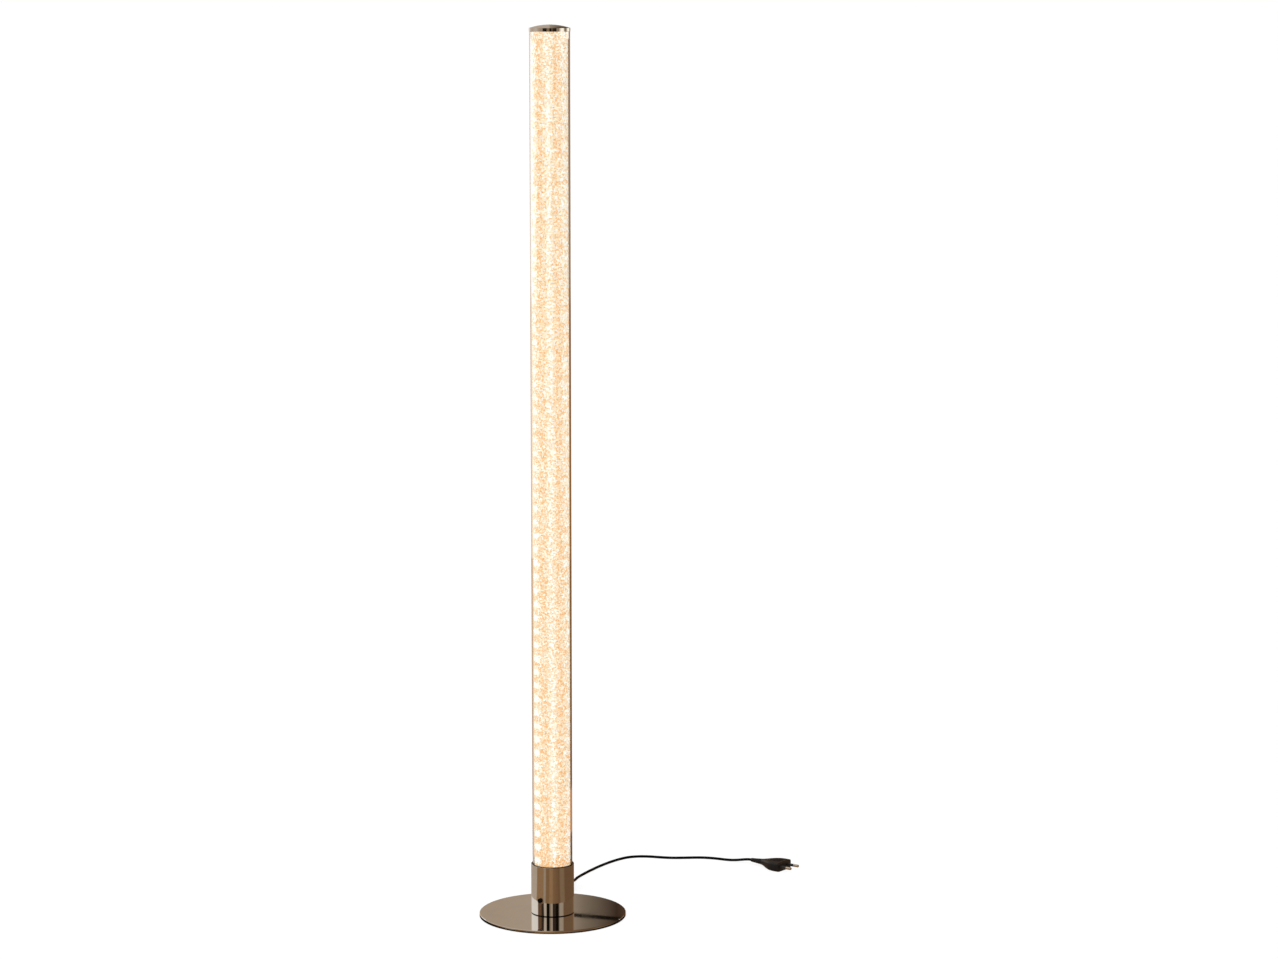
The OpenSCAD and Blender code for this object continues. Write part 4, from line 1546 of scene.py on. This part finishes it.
@dataclass(frozen=True)
class RoomTones:
    """Tones of what the polished metal and the clear wall mirror, by direction round the lamp."""

    glare: Colour = (1.33, 1.30, 1.20)
    white: Colour = (1.05, 1.07, 1.13)
    cream: Colour = (1.1, 0.98, 0.82)
    sand: Colour = (0.95, 0.80, 0.63)
    light: Colour = (0.64, 0.58, 0.53)
    taupe: Colour = (0.52, 0.44, 0.37)
    clay: Colour = (0.456, 0.375, 0.30)
    dusk: Colour = (0.38, 0.31, 0.24)
    stone: Colour = (0.25, 0.17, 0.10)
    cocoa: Colour = (0.23, 0.145, 0.088)
    wood: Colour = (0.33, 0.20, 0.105)
    bark: Colour = (0.25, 0.145, 0.073)
    dark_wood: Colour = (0.18, 0.10, 0.053)
    shade: Colour = (0.045, 0.03, 0.022)
    night: Colour = (0.008, 0.006, 0.004)
    brown: Colour = (0.20, 0.088, 0.03)
    tan: Colour = (0.36, 0.21, 0.115)
    rust: Colour = (0.52, 0.25, 0.10)

    def rings(self) -> Mapping[RoomPart, Stops]:
        """Sets out the tones round the lamp.

        Degrees count from the front, positive to the right.

        Returns:
            For each part of the room, the stops of its colour ramp.
        """
        t = self
        return {
            RoomPart.FLOOR: by_direction(
                (t.taupe, -180, -90), (t.wood, -85, -49), (t.dusk, -43, -37), (t.bark, -32, -19),
                (t.wood, -14, -2), (t.bark, 3), (t.dark_wood, 33), (t.stone, 40, 57),
                (t.dark_wood, 66, 150), (t.bark, 165, 180),
            ),
            RoomPart.FAR_FLOOR: by_direction(
                (t.brown, -180, -168), ((0.66, 0.45, 0.28), -159), ((0.88, 0.67, 0.47), -140),
                (t.taupe, -90), (t.wood, 60, 136), ((0.23, 0.10, 0.032), 142),
                (t.brown, 165, 180),
            ),
            RoomPart.LOW_WALL: by_direction(
                (t.brown, -180), (t.rust, -171), ((0.82, 0.62, 0.43), -160),
                ((1.0, 0.83, 0.65), -140), (t.taupe, -90), (t.wood, 60), (t.rust, 136),
                ((0.24, 0.105, 0.033), 148), (t.brown, 180),
            ),
            RoomPart.MIDDLE_WALL: by_direction(
                (t.clay, -180), ((0.43, 0.345, 0.27), -176.5), ((0.83, 0.66, 0.50), -165),
                (t.white, -139, -89), (t.dark_wood, -84, -64), (t.shade, -61, -49),
                (t.light, -45, -35), (t.night, -32, -18), (t.dusk, -15, -9), (t.light, -3),
                (t.shade, 1, 16), (t.night, 18, 31), (t.dusk, 36), ((0.50, 0.44, 0.39), 41),
                ((0.48, 0.41, 0.35), 57), (t.cocoa, 63, 140), (t.tan, 145, 174),
                ((0.045, 0.026, 0.017), 177.1), ((0.095, 0.064, 0.044), 178.0),
                ((0.205, 0.162, 0.12), 178.5), ((0.262, 0.203, 0.156), 179.0), (t.clay, 179.6),
            ),
            RoomPart.HIGH_WALL: by_direction(
                (t.taupe, -180, -166), (t.sand, -160), (t.cream, -151), (t.light, -136),
                (t.taupe, -112), (t.light, -80), (t.taupe, -68), (t.dusk, -50, -41),
                (t.night, -37, -19), (t.stone, -13, -3), (t.night, 1, 9), (t.stone, 13),
                (t.shade, 17), (t.night, 36), (t.dusk, 43), (t.stone, 50), (t.light, 58),
                (t.glare, 67, 82), (t.stone, 93), (t.dusk, 106), (t.glare, 119, 136),
                (t.tan, 148, 170), (t.shade, 173), (t.dusk, 180),
            ),
            RoomPart.TOP_WALL: by_direction(
                (t.taupe, -180, -162), (t.light, -150, -60), (t.taupe, -20), (t.stone, 10),
                (t.dark_wood, 40), (t.shade, 150), (t.tan, 162, 170), (t.shade, 173),
                (t.dusk, 180),
            ),
        }


@dataclass
class Studio:
    """Camera, pale floor, soft lights, and the room that only reflections see.

    Each light is a broad far one, so that it lights the whole floor evenly. Its numbers are its
    azimuth, its height and its width in the sky in degrees, and its strength.
    """

    camera_at: Point = (0.0, -4.6384, 1.2635)
    pitch: float = 8.1153
    yaw: float = -1.4588
    lens: float = 98.132
    sensor: float = 36.0
    clip_end: float = 200.0
    white: Colour = (1.0, 1.0, 1.0)
    paint: Colour = (0.82, 0.82, 0.82)
    # Colour of the painted contact shadow on the room's floor.
    painted_contact_shadow: Colour = (0.006, 0.004, 0.003)
    sky: float = 0.5
    seen_sky: float = 0.52
    floor_glow: float = 1.06
    floor_size: float = 40.0
    room_r: float = 3.0
    room_floor_z: float = 5e-5
    # Radii where the painted contact shadow round the lamp's foot fades out.
    painted_shadow_rim: Tuple[float, float] = (0.112, 0.106)
    near_rim: Tuple[float, float] = (0.33, 0.36)
    rust_from: Tuple[float, float] = (0.46, 0.50)
    rust_to: Tuple[float, float] = (0.80, 0.74)
    low_rim: Tuple[float, float] = (0.55, 0.62)
    middle_rim: Tuple[float, float] = (1.144, 1.15)
    high_rim: Tuple[float, float] = (1.18, 1.186)
    line_at: float = 0.7938
    line_rise: float = 0.081
    line_half: Tuple[float, float] = (0.0042, 0.0037)
    lights: Sequence[Tuple[str, float, float, float, float]] = (
        ("key", -40.0, 48.0, 50.0, 1.5),
        ("fill", 55.0, 35.0, 70.0, 0.55),
        ("top", 150.0, 75.0, 60.0, 0.5),
    )

    def build_camera(self) -> None:
        """Makes the camera at the photograph's point of view."""
        data = bpy.data.cameras.new("view")
        data.lens = self.lens
        data.sensor_width = self.sensor
        data.clip_end = self.clip_end
        camera = add_object("view", data)
        camera.location = self.camera_at
        camera.rotation_euler = (math.radians(90.0 - self.pitch), 0.0, math.radians(self.yaw))
        bpy.context.scene.camera = camera

    @staticmethod
    def _seen(r: Recipe) -> Value:
        """Tells the rays that see a thing apart from those that it lights by.

        Args:
            r: the recipe to work in.

        Returns:
            1 for camera, glossy and transmission rays, else 0.
        """
        path = r.node("ShaderNodeLightPath").outputs
        rays = ("Is Camera Ray", "Is Glossy Ray", "Is Transmission Ray")
        first, second, third = (r.value(path[name]) for name in rays)
        return first.at_least(second).at_least(third)

    def build_world(self) -> None:
        """Sets a world that is white where it is seen and lights the object softly."""
        world = bpy.data.worlds.new("soft_white")
        bpy.context.scene.world = world
        r = Recipe(world)
        inputs = {"Color": self.white, "Strength": self.sky + self.seen_sky * self._seen(r)}
        background = r.node("ShaderNodeBackground", {}, inputs)
        r.node("ShaderNodeOutputWorld", {}, {"Surface": background.outputs[0]})
        log.info("set the world")

    @staticmethod
    def _stage(
        name: str, points: Sequence[Point], faces: Sequence[Sequence[int]], material: Material
    ) -> Piece:
        """Makes a piece of the studio.

        Args:
            name: its name.
            points: its points in metres.
            faces: its faces, as point numbers.
            material: its finish.

        Returns:
            The piece.
        """
        mesh = bpy.data.meshes.new(name)
        mesh.from_pydata(points, [], faces)
        mesh.materials.append(material)
        piece = add_object(name, mesh)
        return piece

    def build_floor(self) -> None:
        """Makes the pale floor: it shows white where it is seen and keeps soft shadows."""
        r = new_recipe("pale_floor")
        inputs = {"Color": self.paint, "Roughness": 1.0}
        paint = r.node("ShaderNodeBsdfDiffuse", {}, inputs).outputs[0]
        glow = r.emission(self.white, self.floor_glow)
        inputs = {0: self._seen(r) * 0.8, 1: paint, 2: glow}
        material = r.finish(r.node("ShaderNodeMixShader", {}, inputs).outputs[0])
        s = self.floor_size
        corners = [(-s, -s, 0.0), (s, -s, 0.0), (s, s, 0.0), (-s, s, 0.0)]
        self._stage("floor", corners, [(0, 1, 2, 3)], material)

    @staticmethod
    def _hide(piece: Piece) -> None:
        """Leaves a piece of the room to glossy and transmission rays only."""
        piece.visible_camera = piece.visible_diffuse = False
        piece.visible_shadow = piece.visible_volume_scatter = False

    def build_room_floor(self, tones: RoomTones) -> None:
        """Makes the room's floor, a disc with a painted contact shadow, near black, where the lamp
        stands on it.

        Args:
            tones: the room's tones by direction.
        """
        r = new_recipe("room_floor")
        point = r.point()
        x, y, _ = r.axes(point)
        way = x.angle_from(-y) / (2.0 * math.pi) + 0.5
        out = (x * x + y * y) ** 0.5
        rings = tones.rings()
        near, far = (r.ramp(way, rings[part]) for part in (RoomPart.FLOOR, RoomPart.FAR_FLOOR))
        colour = r.mix(out.step(*self.near_rim), near, far)
        band = out.step(*self.rust_from) * out.step(*self.rust_to) * x.step(0.0, 0.1)
        colour = r.mix(band, colour, tones.rust)
        grain = r.noise(r.stretched(point, (1.0, 0.25, 1.0)), 0.006, 3.0, 0.6)
        colour = r.mix(grain.step(0.45, 0.85) * 0.35, colour, tones.shade)
        # Painted contact shadow: near black inside the rim round the lamp's foot.
        colour = r.mix(out.step(*self.painted_shadow_rim), colour, self.painted_contact_shadow)
        material = r.finish(r.emission(colour))
        sides = 180
        a = np.linspace(0.0, 2.0 * np.pi, sides, endpoint=False)
        ring = self.room_r * np.sin(a), -self.room_r * np.cos(a), np.full(sides, self.room_floor_z)
        points = np.stack(ring, axis=1).tolist()
        self._hide(self._stage("room_floor", points, [list(range(sides))], material))

    def build_room_wall(self, tones: RoomTones) -> None:
        """Makes the room's wall, a half ball round the lamp.

        Its point at height angle e and direction a is R (cos e sin a, -cos e cos a, sin e). A thin
        dark line on it stands for the loop of the lead that the plate mirrors in the photograph.

        Args:
            tones: the room's tones by direction.
        """
        r = new_recipe("room_wall")
        x, y, z = r.axes(r.point())
        way = x.angle_from(-y) / (2.0 * math.pi) + 0.5
        parts = (RoomPart.LOW_WALL, RoomPart.MIDDLE_WALL, RoomPart.HIGH_WALL, RoomPart.TOP_WALL)
        low, middle, high, top = (r.ramp(way, tones.rings()[part]) for part in parts)
        colour = r.mix(z.step(*self.low_rim), low, middle)
        line = abs(z - self.line_rise * x - self.line_at).step(*self.line_half)
        line = line * y.step(2.0, 2.1) * x.step(0.03, 0.04) * x.step(0.20, 0.14)
        colour = r.mix(line, colour, tones.night)
        colour = r.mix(z.step(*self.middle_rim), colour, high)
        colour = r.mix(z.step(*self.high_rim), colour, top)
        material = r.finish(r.emission(colour))
        rows, columns = 33, 360
        e = np.linspace(0.0, 0.5 * np.pi - 0.01, rows)[:, None]
        b = np.linspace(0.0, 2.0 * np.pi, columns, endpoint=False)[None, :]
        height = np.broadcast_to(np.sin(e), (rows, columns))
        ball = np.stack([np.cos(e) * np.sin(b), -np.cos(e) * np.cos(b), height], axis=-1)
        points = (self.room_r * ball).reshape(-1, 3).tolist()
        faces = grid_quads(rows, columns, False, True).tolist()
        self._hide(self._stage("room_wall", points, faces, material))

    def build_lights(self) -> None:
        """Places the lights: a key at the front left, a weaker fill at the right, and a top one."""
        for name, azimuth, elevation, width, strength in self.lights:
            data = bpy.data.lights.new(name, "SUN")
            data.angle = math.radians(width)
            data.energy = strength
            light = add_object(name, data)
            light.rotation_euler = (math.radians(90.0 - elevation), 0.0, math.radians(azimuth))
            light.visible_glossy = light.visible_transmission = False

    def build(self) -> None:
        """Makes all of the studio except its camera."""
        self.build_world()
        self.build_floor()
        self.build_room_floor(RoomTones())
        self.build_room_wall(RoomTones())
        self.build_lights()
        bpy.context.scene.view_settings.view_transform = "Standard"


def main() -> None:
    """Builds the camera, the lead, the lamp and the studio in order."""
    logging.basicConfig(level=logging.INFO, format="%(name)s: %(message)s")
    studio = Studio()
    studio.build_camera()
    black = (0.007, 0.007, 0.0075)
    plastic = Moulded("black_moulding", black, 0.4, 0.0004, 0.00001, 0.3).material()
    steel = Brushed("screw_steel", (0.55, 0.55, 0.56), (1.0, 1.0, 0.2), 0.3).material()
    Lead().build(plastic)
    Column().build()
    Shell().build(steel)
    Switch().build(plastic, steel)
    Electronics().build()
    studio.build()


if __name__ == "__main__":
    main()
